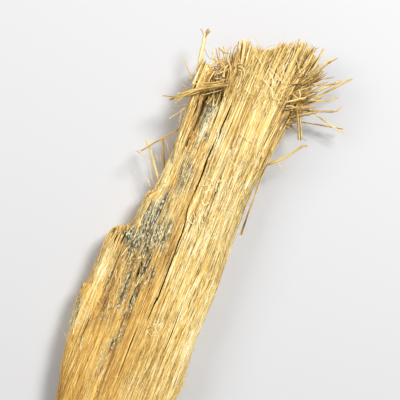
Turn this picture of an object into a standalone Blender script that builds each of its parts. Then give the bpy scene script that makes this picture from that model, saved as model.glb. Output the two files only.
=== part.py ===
"""Balangeroite specimen: a slab of fibrous mineral that splits like wood.

The slab lies on its flat underside (z = 0) with its fibres along Y. Its lower end is broken off
short, and its upper end is frayed into a brush of stiff needles. The origin is on the underside.
Lengths are in metres; the outlines and paths are written in millimetres and scaled by MM.
"""
import math

import bmesh
import bpy
import numpy as np
from mathutils import Vector, noise

MM = 0.001

# Slab: edges as (y, x), ends as (x, y) -------------------------------------------------
SLAB_THICKNESS = 8.0
SLAB_LEFT = [(-34.0, -7.2), (-31.0, -8.0), (-27.0, -8.8), (-23.0, -9.7), (-19.0, -10.4), (-13.0, -11.2),
             (-9.8, -11.3), (-8.9, -10.7), (-1.5, -10.7), (0.2, -10.0), (1.2, -8.3), (3.5, -7.5),
             (7.4, -7.0), (9.5, -6.4), (16.9, -6.1), (17.1, -4.3), (22.0, -4.1), (24.0, -4.3), (27.5, -4.3)]
SLAB_RIGHT = [(-34.0, 7.2), (-30.0, 7.8), (-20.0, 8.0), (-12.0, 7.65), (-3.0, 7.5), (5.0, 7.2), (12.0, 7.0),
              (16.0, 7.25), (18.5, 7.65), (24.0, 7.6), (27.5, 8.0)]
SLAB_LOWER_END = [(-7.2, -31.6), (-5.0, -33.2), (-2.6, -33.9), (0.4, -32.3), (3.2, -33.4), (7.2, -31.4)]
SLAB_UPPER_END = [(-4.3, 25.9), (-1.5, 26.9), (3.0, 27.2), (8.0, 26.8)]
SLAB_RING_STEP = 1.1          # distance between sections, which also fall on every corner of the edges
SLAB_RING_GAP = 0.44          # a section closer to a corner than this is left out
END_RAGGED_OVER = 6.0         # length over which the sections bend to the outline of an end
SECTION_POINTS = 30
SECTION_SQUARENESS = 4.6      # superellipse exponent of the cross-section
UNDERSIDE_CUT = 0.05          # part of the section's height that is flattened into the underside
EDGE_THINNING = 1.1           # how much lower the slab's top is along its left margin
EDGE_THINNING_POWER = 4       # the higher, the closer to the margin it stays
END_THINNING = 0.9            # and towards its frayed end
RELIEF = 0.45                 # height of the ridges along the fibres
COARSE_RIDGES = (0.55, 0.05, 0.7)   # waves per mm across and along the fibres, share of the relief
FINE_RIDGES = (1.6, 0.12, 0.3)
TOP_RIDGES_ABOVE = 0.8        # part of the section's height; higher up, ridges rise, and lower they stand out
TOP_SEED = 2.0
LEFT_SEED = 5.0
RIGHT_SEED = 6.0
FINE_SEED_STEP = 9.0

# Splits in the slab's top, each a path of (x, y)
SPLIT_WIDTH = 0.42
SPLIT_DEPTH = 2.2
SPLIT_END_WIDTH = 0.16        # width and depth at a split's ends, as parts of the full ones
SPLIT_END_DEPTH = 0.4
CUTTER_TOP = SLAB_THICKNESS + 1.0
UPPER_SPLIT = [(-0.1, 25.5), (-0.5, 21.0), (-0.2, 18.6), (-0.7, 15.0), (-0.7, 9.5)]
LOWER_SPLIT = [(-0.6, 6.5), (-0.2, 2.0), (0.0, -4.0), (-0.2, -10.5)]
RIGHT_SPLIT = [(3.8, -5.5), (3.9, -10.0), (3.6, -16.5)]
LEFT_SPLIT = [(-1.2, -13.5), (-1.25, -19.5)]

# Hollow in the slab's upper left corner, under the bundle that lies across it
HOLLOW_X = (-5.0, -1.7)
HOLLOW_Y = (24.2, 28.5)
HOLLOW_FLOOR = 3.1

# Sliver that is split off along the slab's upper left edge
SLIVER_Y = (17.45, 28.4)
SLIVER_LEFT = [(17.45, -6.1), (21.0, -6.35), (24.5, -6.85), (28.4, -7.1)]
SLIVER_RIGHT = [(17.45, -4.7), (20.0, -4.6), (24.0, -4.75), (28.4, -4.85)]
SLIVER_BOTTOM = 0.8
SLIVER_TOP = 7.3
SLIVER_RINGS = 12

# Brush of loose fibres: (y, left x, right x, bottom z, top z) of the solid that reaches their tips
BRUSH_SECTIONS = [(27.6, -1.5, 8.3, 0.6, 6.9), (28.8, -3.4, 9.1, 0.5, 7.6), (30.4, -4.6, 9.7, 0.5, 8.3),
                  (32.2, -4.3, 10.0, 0.6, 8.8), (33.6, -2.4, 9.9, 0.8, 8.7), (34.8, 0.6, 9.6, 1.3, 8.1),
                  (36.0, 2.6, 9.0, 2.0, 7.2), (36.9, 4.4, 8.3, 2.9, 6.1)]
BRUSH_POINTS = 18
BRUSH_SQUARENESS = 2.6

# Needles and bundles that stand clear of the rest: radius, then a path of (x, y, z)
NEEDLES = {
    "cross_bundle": (0.34, [(-10.5, 21.6, 7.5), (-8.5, 22.2, 7.7), (-6.2, 24.1, 7.9), (-4.5, 25.2, 7.95),
                            (-2.3, 26.5, 7.9)]),
    "tall_straw": (0.22, [(-7.1, 28.9, 5.6), (-7.5, 30.2, 5.8), (-7.8, 31.5, 6.1), (-8.0, 32.5, 6.3),
                          (-7.7, 33.5, 6.5)]),
    "short_straw": (0.16, [(-5.5, 28.9, 4.6), (-5.6, 29.6, 4.8), (-5.75, 30.4, 5.0), (-6.1, 31.0, 5.2)]),
    "top_needle_1": (0.17, [(9.5, 36.0, 4.6), (9.55, 36.8, 4.7), (9.65, 37.6, 4.8)]),
    "top_needle_2": (0.17, [(10.4, 33.3, 4.5), (10.8, 34.9, 4.5), (11.2, 36.5, 4.6)]),
    "ray_needle_1": (0.24, [(9.9, 29.5, 5.2), (12.0, 32.0, 5.9), (13.9, 33.7, 6.3)]),
    "ray_needle_2": (0.16, [(9.8, 28.2, 4.5), (11.3, 30.0, 4.3), (13.0, 32.2, 4.2), (15.4, 34.9, 4.3)]),
    "ray_needle_3": (0.15, [(8.9, 28.5, 6.3), (10.3, 29.0, 6.7), (12.5, 29.8, 7.2), (14.2, 31.1, 7.5)]),
    "crooked_needle": (0.16, [(8.7, 27.7, 5.4), (10.2, 27.9, 5.4), (12.5, 28.2, 5.5), (14.8, 29.2, 5.6),
                              (15.3, 30.2, 5.7)]),
    "long_needle": (0.19, [(9.6, 28.8, 3.4), (12.0, 28.0, 3.3), (15.0, 27.1, 3.2), (17.7, 26.7, 3.1)]),
    "low_needle": (0.12, [(8.5, 25.8, 2.2), (13.0, 26.6, 2.2), (17.1, 27.5, 2.2)]),
    "twin_needle_1": (0.17, [(8.5, 28.5, 7.2), (9.5, 26.3, 6.8), (10.55, 24.3, 6.3), (11.2, 23.1, 5.9)]),
    "twin_needle_2": (0.17, [(9.35, 27.7, 6.2), (10.0, 26.3, 6.0), (10.95, 24.4, 5.5), (11.45, 23.5, 5.2)]),
    "bent_needle": (0.18, [(8.25, 18.1, 5.2), (9.7, 19.2, 5.5), (10.6, 20.3, 5.8), (11.9, 22.2, 6.3),
                           (12.6, 22.6, 6.4)]),
    "trailing_needle": (0.14, [(8.25, 18.0, 4.1), (8.05, 15.5, 4.2), (8.0, 12.0, 4.4), (8.1, 8.5, 4.5),
                               (8.25, 6.0, 4.5)]),
    "left_needle_1": (0.15, [(-6.65, 17.7, 5.2), (-8.3, 15.7, 5.7), (-10.6, 12.7, 6.3)]),
    "left_needle_2": (0.18, [(-6.95, 10.1, 4.0), (-8.5, 12.0, 4.2), (-10.5, 14.7, 4.4)]),
    "left_needle_3": (0.14, [(-6.85, 12.4, 2.6), (-7.6, 14.0, 2.8), (-8.5, 15.9, 3.0)]),
}
NEEDLE_STEP = 1.0             # length of one straight piece of a needle
NEEDLE_TIP = 0.45             # radius at a needle's free end, as part of its full radius

# Colours (RGB) and roughness of the pieces
STRAW = (0.68, 0.47, 0.20)
OCHRE = (0.56, 0.35, 0.13)
PALE = (0.80, 0.63, 0.36)
ROUGHNESS = 0.55


def curve_through(table, value):
    """Interpolate a table of (position, value) pairs, sorted by position."""
    positions, values = zip(*table)
    return float(np.interp(value, positions, values))


def superellipse(count, exponent):
    """Points (u, v) of a rounded unit square, anticlockwise seen from the lower end."""
    points = []
    for k in range(count):
        angle = math.tau * (k + 0.5) / count
        c, s = math.cos(angle), math.sin(angle)
        u = 0.5 + 0.5 * math.copysign(abs(c) ** (2.0 / exponent), c)
        v = 0.5 + 0.5 * math.copysign(abs(s) ** (2.0 / exponent), s)
        points.append((u, v))
    return points


def ridge(a, b, seed):
    """Smooth noise, stretched along the fibres, from about -0.5 to 0.5."""
    total = 0.0
    for (across, along, share), layer_seed in ((COARSE_RIDGES, seed), (FINE_RIDGES, seed + FINE_SEED_STEP)):
        total += share * noise.noise(Vector((a * across, b * along, layer_seed)))
    return total


def loft(rings):
    """Closed mesh through rings of points. Each end is capped from its top edge to its bottom edge."""
    bm = bmesh.new()
    loops = [[bm.verts.new(Vector(p) * MM) for p in ring] for ring in rings]
    count = len(loops[0])
    for lower, upper in zip(loops, loops[1:]):
        for k in range(count):
            n = (k + 1) % count
            bm.faces.new((lower[k], lower[n], upper[n], upper[k]))
    for loop in (loops[0], loops[-1]):
        for k in range((count - 1) // 2):
            corners = (loop[k], loop[k + 1], loop[count - 2 - k], loop[count - 1 - k])
            bm.faces.new(list(dict.fromkeys(corners)))
    bmesh.ops.recalc_face_normals(bm, faces=bm.faces)
    return bm


def material(name, colour):
    mat = bpy.data.materials.new(name)
    mat.use_nodes = True
    shader = mat.node_tree.nodes["Principled BSDF"]
    shader.inputs["Base Color"].default_value = (*colour, 1.0)
    shader.inputs["Roughness"].default_value = ROUGHNESS
    shader.inputs["Metallic"].default_value = 0.0
    return mat


def add_object(name, data, collection, colour):
    obj = bpy.data.objects.new(name, data)
    collection.objects.link(obj)
    if colour is not None:
        data.materials.append(material(name, colour))
    return obj


def mesh_object(name, bm, collection, colour=None):
    mesh = bpy.data.meshes.new(name)
    bm.to_mesh(mesh)
    bm.free()
    return add_object(name, mesh, collection, colour)


def slab_stations():
    """Places of the slab's sections along Y: evenly spaced, and at every corner of its edges."""
    low, high = SLAB_LEFT[0][0], SLAB_LEFT[-1][0]
    stations = [y for y, _ in SLAB_LEFT + SLAB_RIGHT]
    for y in np.linspace(low, high, round((high - low) / SLAB_RING_STEP)):
        if min(abs(y - other) for other in stations) > SLAB_RING_GAP:
            stations.append(float(y))
    return sorted(set(stations))


def slab_rings():
    """Sections of the slab from its lower end to its upper end."""
    section = superellipse(SECTION_POINTS, SECTION_SQUARENESS)
    stations = slab_stations()
    low, high = stations[0], stations[-1]
    rings = []
    for station in stations:
        left = curve_through(SLAB_LEFT, station)
        right = curve_through(SLAB_RIGHT, station)
        to_low = max(0.0, 1.0 - (station - low) / END_RAGGED_OVER)
        to_high = max(0.0, 1.0 - (high - station) / END_RAGGED_OVER)
        ring = []
        for u, v in section:
            x = left + u * (right - left)
            y = (station + to_low * (curve_through(SLAB_LOWER_END, x) - low)
                 + to_high * (curve_through(SLAB_UPPER_END, x) - high))
            height = (SLAB_THICKNESS - EDGE_THINNING * (1.0 - u) ** EDGE_THINNING_POWER
                      - END_THINNING * max(0.0, y / high))
            z = height * max(0.0, v - UNDERSIDE_CUT) / (1.0 - UNDERSIDE_CUT)
            if v > TOP_RIDGES_ABOVE:
                z += RELIEF * ridge(x, y, TOP_SEED)
            elif v > UNDERSIDE_CUT:
                x += RELIEF * ridge(z, y, RIGHT_SEED if u > 0.5 else LEFT_SEED)
            ring.append((x, y, z))
        rings.append(ring)
    return rings


def blade(name, path, collection):
    """Cutter for one split: a wedge along the path that comes to an edge below the surface."""
    rings = []
    for k, (x, y) in enumerate(path):
        end = k in (0, len(path) - 1)
        half = 0.5 * SPLIT_WIDTH * (SPLIT_END_WIDTH if end else 1.0)
        depth = SPLIT_DEPTH * (SPLIT_END_DEPTH if end else 1.0)
        rings.append([(x - half, y, CUTTER_TOP), (x, y, SLAB_THICKNESS - depth), (x + half, y, CUTTER_TOP)])
    return mesh_object(name, loft(rings), collection)


def box(name, xs, ys, zs, collection):
    """Box cutter between the given limits."""
    bm = bmesh.new()
    bmesh.ops.create_cube(bm, size=1.0)
    size = Vector((xs[1] - xs[0], ys[1] - ys[0], zs[1] - zs[0]))
    centre = Vector((sum(xs), sum(ys), sum(zs))) / 2.0
    bmesh.ops.scale(bm, vec=size * MM, verts=bm.verts)
    bmesh.ops.translate(bm, vec=centre * MM, verts=bm.verts)
    return mesh_object(name, bm, collection)


def cut(obj, cutter):
    cutter.hide_render = True
    cutter.display_type = "WIRE"
    mod = obj.modifiers.new("cut " + cutter.name, "BOOLEAN")
    mod.operation = "DIFFERENCE"
    mod.solver = "EXACT"
    mod.object = cutter


def make_slab(collection, cutters):
    slab = mesh_object("slab", loft(slab_rings()), collection, OCHRE)
    cut(slab, box("hollow", HOLLOW_X, HOLLOW_Y, (HOLLOW_FLOOR, CUTTER_TOP), cutters))
    splits = {"upper_split": UPPER_SPLIT, "lower_split": LOWER_SPLIT, "right_split": RIGHT_SPLIT,
              "left_split": LEFT_SPLIT}
    for name, path in splits.items():
        cut(slab, blade(name, path, cutters))


def make_sliver(collection):
    """The sliver keeps its own section from its foot to its square broken end."""
    section = superellipse(BRUSH_POINTS, SECTION_SQUARENESS)
    rings = []
    for k in range(SLIVER_RINGS):
        y = SLIVER_Y[0] + k / (SLIVER_RINGS - 1) * (SLIVER_Y[1] - SLIVER_Y[0])
        left = curve_through(SLIVER_LEFT, y)
        right = curve_through(SLIVER_RIGHT, y)
        rings.append([(left + u * (right - left), y, SLIVER_BOTTOM + v * (SLIVER_TOP - SLIVER_BOTTOM))
                      for u, v in section])
    mesh_object("left_sliver", loft(rings), collection, STRAW)


def make_brush(collection):
    section = superellipse(BRUSH_POINTS, BRUSH_SQUARENESS)
    rings = [[(left + u * (right - left), y, bottom + v * (top - bottom)) for u, v in section]
             for y, left, right, bottom, top in BRUSH_SECTIONS]
    mesh_object("frayed_brush", loft(rings), collection, PALE)


def smooth_path(points, step):
    """Points about one step apart on a Catmull-Rom curve through the given points."""
    p = [np.array(q, float) for q in points]
    p = [2 * p[0] - p[1]] + p + [2 * p[-1] - p[-2]]
    path = [p[1]]
    for a, b, c, d in zip(p, p[1:], p[2:], p[3:]):
        pieces = max(1, round(float(np.linalg.norm(c - b)) / step))
        for k in range(1, pieces + 1):
            t = k / pieces
            path.append(0.5 * (2 * b + (c - a) * t + (2 * a - 5 * b + 4 * c - d) * t ** 2
                               + (3 * b - a - 3 * c + d) * t ** 3))
    return path


def make_needle(name, radius, points, collection):
    """A stiff fibre bundle: a round rod that thins towards its free end."""
    path = smooth_path(points, NEEDLE_STEP)
    curve = bpy.data.curves.new(name, "CURVE")
    curve.dimensions = "3D"
    curve.bevel_depth = radius * MM
    curve.bevel_resolution = 1
    curve.use_fill_caps = True
    spline = curve.splines.new("POLY")
    spline.points.add(len(path) - 1)
    for k, (point, place) in enumerate(zip(spline.points, path)):
        point.co = (*(Vector(place) * MM), 1.0)
        point.radius = 1.0 - (1.0 - NEEDLE_TIP) * (k / (len(path) - 1)) ** 2
    add_object(name, curve, collection, STRAW)


def new_collection(name):
    collection = bpy.data.collections.new(name)
    bpy.context.scene.collection.children.link(collection)
    return collection


def main():
    for obj in list(bpy.data.objects):
        bpy.data.objects.remove(obj, do_unlink=True)
    specimen = new_collection("balangeroite")
    cutters = new_collection("cutters")
    make_slab(specimen, cutters)
    make_sliver(specimen)
    make_brush(specimen)
    for name, (radius, points) in NEEDLES.items():
        make_needle(name, radius, points, specimen)


main()
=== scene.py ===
"""Looks of the balangeroite specimen: a slab of straw-gold fibres, frayed at one end.

Everything is worked out in millimetres and scaled to metres when a mesh is made. The slab lies on
z = 0 with its fibres along Y. Places on it are (x, y) as seen from above with +Y up.
"""
import math
from collections import namedtuple

import bpy
import numpy as np
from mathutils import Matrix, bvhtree, geometry


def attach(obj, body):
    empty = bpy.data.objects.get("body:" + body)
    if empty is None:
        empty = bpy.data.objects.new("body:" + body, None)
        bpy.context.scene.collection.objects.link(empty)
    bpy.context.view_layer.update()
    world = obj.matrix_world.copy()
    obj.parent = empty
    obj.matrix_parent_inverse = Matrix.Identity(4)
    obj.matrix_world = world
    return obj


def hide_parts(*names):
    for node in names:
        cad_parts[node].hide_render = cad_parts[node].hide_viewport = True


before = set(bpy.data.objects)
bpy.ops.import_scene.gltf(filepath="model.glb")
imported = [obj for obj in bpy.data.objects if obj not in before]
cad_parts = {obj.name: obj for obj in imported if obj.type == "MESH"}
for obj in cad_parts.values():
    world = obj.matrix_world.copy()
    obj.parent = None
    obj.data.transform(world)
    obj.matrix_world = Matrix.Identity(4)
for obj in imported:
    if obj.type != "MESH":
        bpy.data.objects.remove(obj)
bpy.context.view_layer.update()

MM = 0.001
Body = namedtuple("Body", "grid across normal")     # points, places across the grain, directions

# Camera --------------------------------------------------------------------------------
VIEW_CENTRE = (0.47, 9.05)      # point of the slab in the middle of the picture
VIEW_ROLL = 21.5                # degrees the slab leans to the right in the picture
VIEW_WIDTH = 60.0               # width of the picture at the slab's top face
LENS = 100.0
SENSOR = 36.0

# Slab, sliver and brush ----------------------------------------------------------------
SLAB_TOP = 8.0
LEFT_WALL, RIGHT_WALL = -8.8, 7.8   # x at which the fibres turn from the top into the walls
UNDERSIDE_HEIGHT = 0.6          # what lies lower than this is the underside
UNDERSIDE_DENSITY = 0.4         # its share of columns, against 1 elsewhere
SEAM = 0.05                     # smallest share of a section's width on each side of its seam
HOLLOW_X = (-6.0, -1.6)         # the slab's upper left corner is sunk between these
HOLLOW_START = 24.0             # and from this y on
HOLLOW_FLOOR = 3.6
END_START = -28.8               # the slab's broken end reaches from here on
EDGE_MIDDLE = -1.5              # edges are followed more and more away from here
SLIVER_FOOT = 17.5              # y at which the CAD sliver starts
SLIVER_END = 28.3               # y at which its body ends, below the tips
SLIVER_ROOT = 5.0               # length that runs on down inside the slab
BRUSH_START = 20.6              # y at which the brush body starts, inside the slab
BRUSH_SECTION = 25.0            # y of the section of the slab that it has all along
BODY_SHARP = 35.0               # degrees from which an edge of a body stays sharp
FIBRE_SHARP = 50.0              # and an edge of a fibre
TOP_LEVEL = 5.0                 # what lies higher is on top of the specimen
LOWEST_FACE = 6.9               # the straws of the brush's top follow its body down to here
OPEN_SPLIT = 0.15               # how far into a split a fibre may come, from 0 to 1
GROUND_GAP = 0.02               # no fibre goes lower
UV_MARGIN = 0.02                # of the whole map, round a body
FLOOR_HALF = 1.5                # in metres

# y of the slab's rows, closer together at the steps of the left edge and at the brush
STATION_STOPS = [-31.2, -13.0, -7.5, -2.2, 3.4, 6.4, 9.0, 23.4, 26.7]
STATION_ROWS = [27, 15, 8, 24, 5, 9, 24, 12]
SLAB_STATIONS = np.concatenate([
    np.linspace(low, high, rows, endpoint=high == STATION_STOPS[-1])
    for low, high, rows in zip(STATION_STOPS, STATION_STOPS[1:], STATION_ROWS)])

# Outlines from above: (x, y) along the slab's left and right edge and over the brush's tips
LEFT_EDGE = [(-8.9, -27), (-9.5, -24.5), (-10.2, -22), (-10.6, -19), (-11.1, -16), (-11.5, -12),
             (-11.6, -10.5), (-11.4, -9.4), (-10.9, -9), (-10.9, -7.5), (-11.15, -6.6), (-10.75, -5.5),
             (-10.9, -4), (-10.9, -1.8), (-10.7, -0.6), (-10.4, 0.2), (-9.8, 0.65), (-8.9, 0.95),
             (-8.3, 1.5), (-7.85, 2.1), (-7.6, 5), (-7.55, 7), (-6.95, 7.7), (-6.75, 8.6), (-6.5, 10),
             (-6.2, 15)]
RIGHT_EDGE = [(8.2, -20), (8.35, -18), (8, -15), (7.8, -11.5), (7.85, -5), (7.6, 0), (7.4, 5), (7.2, 10),
              (7.35, 14), (7.85, 17), (7.9, 20), (7.8, 24)]
BRUSH_OUTLINE = [(-3, 32.2), (-2.6, 33.2), (-1.9, 34.1), (-1, 33.4), (0.4, 33.7), (1.2, 33.8), (1.9, 34.4),
                 (2.5, 34.8), (3.5, 35.3), (4.7, 36.7), (5.4, 36.4), (6.6, 36.9), (7.5, 36.7), (8.1, 37.2),
                 (8.6, 35.7), (9.4, 34.8), (10.4, 33.6)]

# Splits in the top: width, depth, path of (x, y)
SPLITS = [
    (0.12, 0.4, [(-6.6, 27.2), (-6.5, 24), (-6.35, 19)]),
    (0.12, 0.3, [(-5.9, 23.6), (-5.75, 20), (-5.6, 16)]),
    (0.13, 0.5, [(-5.3, 26.8), (-5.25, 23), (-5, 19)]),
    (0.34, 2.2, [(-0.1, 27), (-0.4, 24.5), (-0.5, 20), (-0.15, 18.6)]),
    (0.22, 2, [(-0.62, 19), (-0.7, 16), (-0.65, 14), (-0.7, 9.6)]),
    (0.1, 0.3, [(-0.7, 11.5), (-0.78, 8), (-0.6, 5)]),
    (0.16, 2.2, [(-0.75, 7.6), (-0.35, 4.2), (-0.15, 2), (-0.02, 0), (0, -5), (-0.12, -8), (-0.25, -10.6)]),
    (0.2, 1, [(-1.7, 24), (-1.8, 22), (-2.1, 20.2)]), (0.1, 0.12, [(0.5, 25.2), (0.9, 22.4)]),
    (0.12, 0.15, [(0.55, -1), (0.65, -5), (0.6, -10)]),
    (0.14, 0.7, [(-1.3, -12.6), (-1.2, -16), (-1.25, -19.6)]),
    (0.14, 0.5, [(3.8, -5.8), (3.9, -10), (3.75, -14), (3.6, -16.5)]),
    (0.2, 0.8, [(-9.3, 1.2), (-9.2, -0.4), (-9.25, -2)]),
    (0.24, 1, [(-8.2, 1.9), (-8.1, 0.2), (-8.2, -1.6)]),
    (0.14, 0.5, [(-9.85, 0.8), (-9.8, -0.4), (-9.8, -1.4)]),
    (0.12, 0.4, [(-8.7, 1.2), (-8.7, 0), (-8.65, -2.6)]),
    (0.12, 0.2, [(2.95, -14), (2.9, -17), (2.8, -20.6)]), (0.12, 0.2, [(2.4, -17.2), (2.4, -20.8)]),
    (0.11, 0.14, [(0.65, -14.6), (0.5, -18.2)]), (0.36, 1.4, [(-4.35, -2.3), (-4.1, -3.6), (-4.2, -5.8)]),
    (0.18, 0.7, [(-3.75, -6.2), (-3.6, -8), (-3.6, -10.6)]), (0.11, 0.12, [(2.2, 14), (2.25, 9), (2.3, 3)]),
    (0.11, 0.12, [(4.6, 8), (4.5, 2), (4.2, -4)]), (0.12, 0.2, [(-7.7, -1), (-7.75, -5), (-8, -11.5)]),
    (0.11, 0.12, [(-9.2, -3), (-9.3, -8)]), (0.12, 0.16, [(-6.3, -14), (-6.4, -19), (-6.8, -25)])]

# Grey-green matrix: centre (x, y), half sizes (x, y), strength
MATRIX_PATCHES = [
    ((-3, 21.5), (1, 4.4), 0.9), ((-2.1, 18.2), (0.45, 0.8), 0.9), ((-3, 17.5), (0.8, 2.4), 0.5),
    ((-2.9, 11.5), (0.95, 4.2), 0.9), ((-4.4, 6), (1.1, 2.8), 0.8), ((-5.4, 3.4), (1.7, 2.6), 0.95),
    ((-6.2, -0.6), (1.9, 3.2), 0.95), ((-4.6, 0.4), (1.3, 3.6), 0.9), ((-8.3, 0.5), (0.6, 0.7), 0.9),
    ((-5.5, -3.2), (1.7, 3), 0.72), ((-3.5, -3.4), (0.8, 2.8), 0.75), ((-9.3, 0.2), (0.25, 0.8), 0.7),
    ((-7, -3.4), (1.2, 2.4), 0.66), ((-2.5, 1.6), (1.2, 4), 0.6), ((-3.5, 2.4), (1, 4.4), 0.7),
    ((-2.2, -4.2), (0.8, 3.4), 0.45), ((-5.8, -6.4), (2.2, 5), 0.6), ((-3.5, -7.5), (0.7, 5), 0.8),
    ((-6.4, -11.6), (1.5, 3.2), 0.58), ((-3.6, -15.5), (0.7, 4.5), 0.5), ((-4.4, -19.5), (1, 2.8), 0.4),
    ((-11.1, -14), (0.55, 4.5), 0.75)]

# Tints: centre (x, y), half sizes (x, y), change of tone, change of warmth. Two are painted light: a
# highlight on the right edge and shade on the brush's right side.
TINTS_AND_PAINTED_LIGHT = [
    ((-0.95, 6.5), (0.7, 6.5), -0.01, 0.45), ((-3, 21), (0.95, 3.8), 0.34, -0.4),
    ((-5.5, 3.6), (1.3, 2.2), 0, -0.5), ((-9.5, -5.5), (1.2, 5.5), 0.19, -0.8),
    ((-7.8, -6), (0.22, 5.5), -0.14, 0.4), ((-5.4, -9), (1.8, 4), 0.03, -0.12),
    ((-5.5, 12.5), (0.6, 6), 0.1, -0.4), ((-2.6, 14), (1.1, 5), -0.01, 0.4),
    # painted highlight: the first tint here lightens the slab's lit right edge
    ((7.3, -8), (0.55, 7), 0.15, -0.4), ((1.8, -4), (1.1, 12), 0.07, 0),
    ((0.6, -5.5), (0.16, 4.5), -0.16, 0.8), ((0.3, 2), (0.2, 9), 0.14, 0), ((3.5, 21), (3, 5), 0.05, 0),
    ((-11.1, -14), (0.5, 4), 0.1, -0.5), ((4.3, -9), (0.3, 9), 0.1, 0), ((2.3, 4), (0.2, 10), -0.08, 0.2),
    ((-0.9, 0.8), (1, 3.8), -0.19, 0.1), ((6.6, -14), (1.4, 7), 0.17, -0.1),
    ((-10.3, -14.5), (0.9, 4), 0.28, -0.1), ((-6.6, -17.5), (1.3, 4.5), 0.11, 0),
    # painted shade: the first tint here darkens the brush's right side, where the fanned straws root
    ((7.2, 25.5), (1.1, 6.5), -0.19, 0), ((2.8, 11.5), (0.7, 5), 0.14, 0),
    ((0.9, -14), (1.1, 5.5), -0.14, 0)]


# Repeatable noise ----------------------------------------------------------------------
def hash01(i, j, seed):
    """Random values in 0..1 that depend only on two whole numbers and a seed."""
    h = (i.astype(np.int64) * 374761393 + j.astype(np.int64) * 668265263 + seed * 144665) & 0xFFFFFFFF
    for shift, factor in ((13, 1274126177), (15, 2246822519)):
        h = ((h ^ (h >> shift)) * factor) & 0xFFFFFFFF
    return ((h ^ (h >> 16)) & 0xFFFFFF) / 0xFFFFFF


def smooth_noise(a, b, seed):
    """Value noise in 0..1 with one bump per unit of a and of b."""
    i, j = np.floor(a), np.floor(b)
    s, t = a - i, b - j
    s, t = s * s * (3 - 2 * s), t * t * (3 - 2 * t)
    low = hash01(i, j, seed) * (1 - s) + hash01(i + 1, j, seed) * s
    high = hash01(i, j + 1, seed) * (1 - s) + hash01(i + 1, j + 1, seed) * s
    return low * (1 - t) + high * t


def wave(a, b, seed):
    """Value noise around 0, from -0.5 to 0.5."""
    return smooth_noise(a, b, seed) - 0.5


def splinters(a, b, width, length, seed):
    """Long pointed cells: each point's cell value in 0..1, its distance from the cell's edge, and a
    lean across the cell, from -1 to 1, that tips each one to a side of its own."""
    a, b = a / width, b / length
    i, j = np.floor(a), np.floor(b)
    nearest, second = np.full(a.shape, 9.0), np.full(a.shape, 9.0)
    value, lean = np.zeros(a.shape), np.zeros(a.shape)
    for di in (-1, 0, 1):
        for dj in (-1, 0, 1):
            p, q = i + di, j + dj
            off = p + hash01(p, q, seed) - a
            distance = np.hypot(off, q + hash01(p, q, seed + 1) - b)
            closer = distance < nearest
            second = np.where(closer, nearest, np.minimum(second, distance))
            value = np.where(closer, hash01(p, q, seed + 2), value)
            lean = np.where(closer, 2.0 * off * (hash01(p, q, seed + 3) - 0.5), lean)
            nearest = np.where(closer, distance, nearest)
    return value, second - nearest, np.clip(lean, -1.0, 1.0)


def clamp(values):
    """Limit values to 0..1."""
    return np.clip(values, 0.0, 1.0)


def along(table, value):
    """Interpolate a table of (position, value) pairs."""
    positions, values = zip(*sorted(table))
    return np.interp(value, positions, values)


def x_of(path, y):
    """x of a path of (x, y) points at each y."""
    return along([(b, a) for a, b in path], y)


def mostly_thin(rng, sizes, count):
    """Random sizes in a range, more of them near its lower end."""
    return sizes[0] + (sizes[1] - sizes[0]) * rng.random(count) ** 2


# Zones of the specimen -----------------------------------------------------------------
def matrix_strength(x, y):
    """How much grey-green matrix shows at each point, from 0 to 1."""
    total = np.zeros(np.shape(x))
    wobble = 0.5 * wave(x * 1.3, y * 0.5, 31) + 0.35 * wave(x * 3.1, y * 1.1, 32)
    for (cx, cy), (rx, ry), strength in MATRIX_PATCHES:
        away = np.hypot((x - cx) / rx, (y - cy) / ry)
        total = np.maximum(total, strength * clamp(1.4 - away))
    return clamp(total + wobble * clamp(8.0 * total))


def tint(x, y):
    """Change of tone, and warmth: 0 in the pale straw right half, 1 in the ochre lower left. The tone carries
    a painted highlight along the right edge and painted shade on the brush's right side.
    """
    across = clamp((0.6 - x) / 3.0)
    lower = clamp((6.0 - y) / 14.0)
    warm = across * (0.3 + 0.7 * lower) + 0.06 + 0.34 * clamp((2.0 - y) / 14.0)
    tone = -0.02 - 0.04 * across * lower - 0.02 * lower
    warm += 0.5 * wave(x * 0.8, y * 0.17, 91) * (0.5 + 0.5 * across)
    tone += (0.09 + 0.1 * across * lower) * wave(x * 1.1, y * 0.24, 92)
    for (cx, cy), (rx, ry), lighter, warmer in TINTS_AND_PAINTED_LIGHT:
        near = np.exp(-((x - cx) / rx) ** 2 - np.abs((y - cy) / ry) ** 3)
        tone += lighter * near
        warm += warmer * near
    return tone, clamp(warm)


def raggedness(y):
    """How uneven the fibres are: 1 where they are frayed, and less down the slab, where they are more
    compact, except for the last stretch."""
    return 1.0 - 0.4 * clamp((10.0 - y) / 16.0) + 0.2 * clamp((-14.0 - y) / 8.0)


def split_depth(x, y):
    """Depth of the splits at each point of the top, and how far inside a split the point is (0..1), which
    also sets the painted shade inside it.
    """
    depth, inside = np.zeros(x.shape), np.zeros(x.shape)
    for width, deep, path in SPLITS:
        low, high = path[-1][1], path[0][1]
        centre = x_of(path, y) + 0.19 * wave(y * 0.6, x * 0.0 + width, 51)
        taper = clamp(np.minimum(y - low, high - y) / min(2.4, 0.4 * (high - low)))
        narrow = width * (0.55 + 0.45 * taper) * (0.8 + 0.4 * smooth_noise(y * 0.9, x * 0.0, 52))
        near = clamp(1.0 - np.abs(x - centre) / (0.62 * narrow)) * (taper > 0)
        inside = np.maximum(inside, near * np.sqrt(taper) * min(0.35 + 0.65 * deep, 1.0))
        depth = np.maximum(depth, deep * np.sqrt(taper) * clamp(near * 1.8))
    return depth, inside


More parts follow.
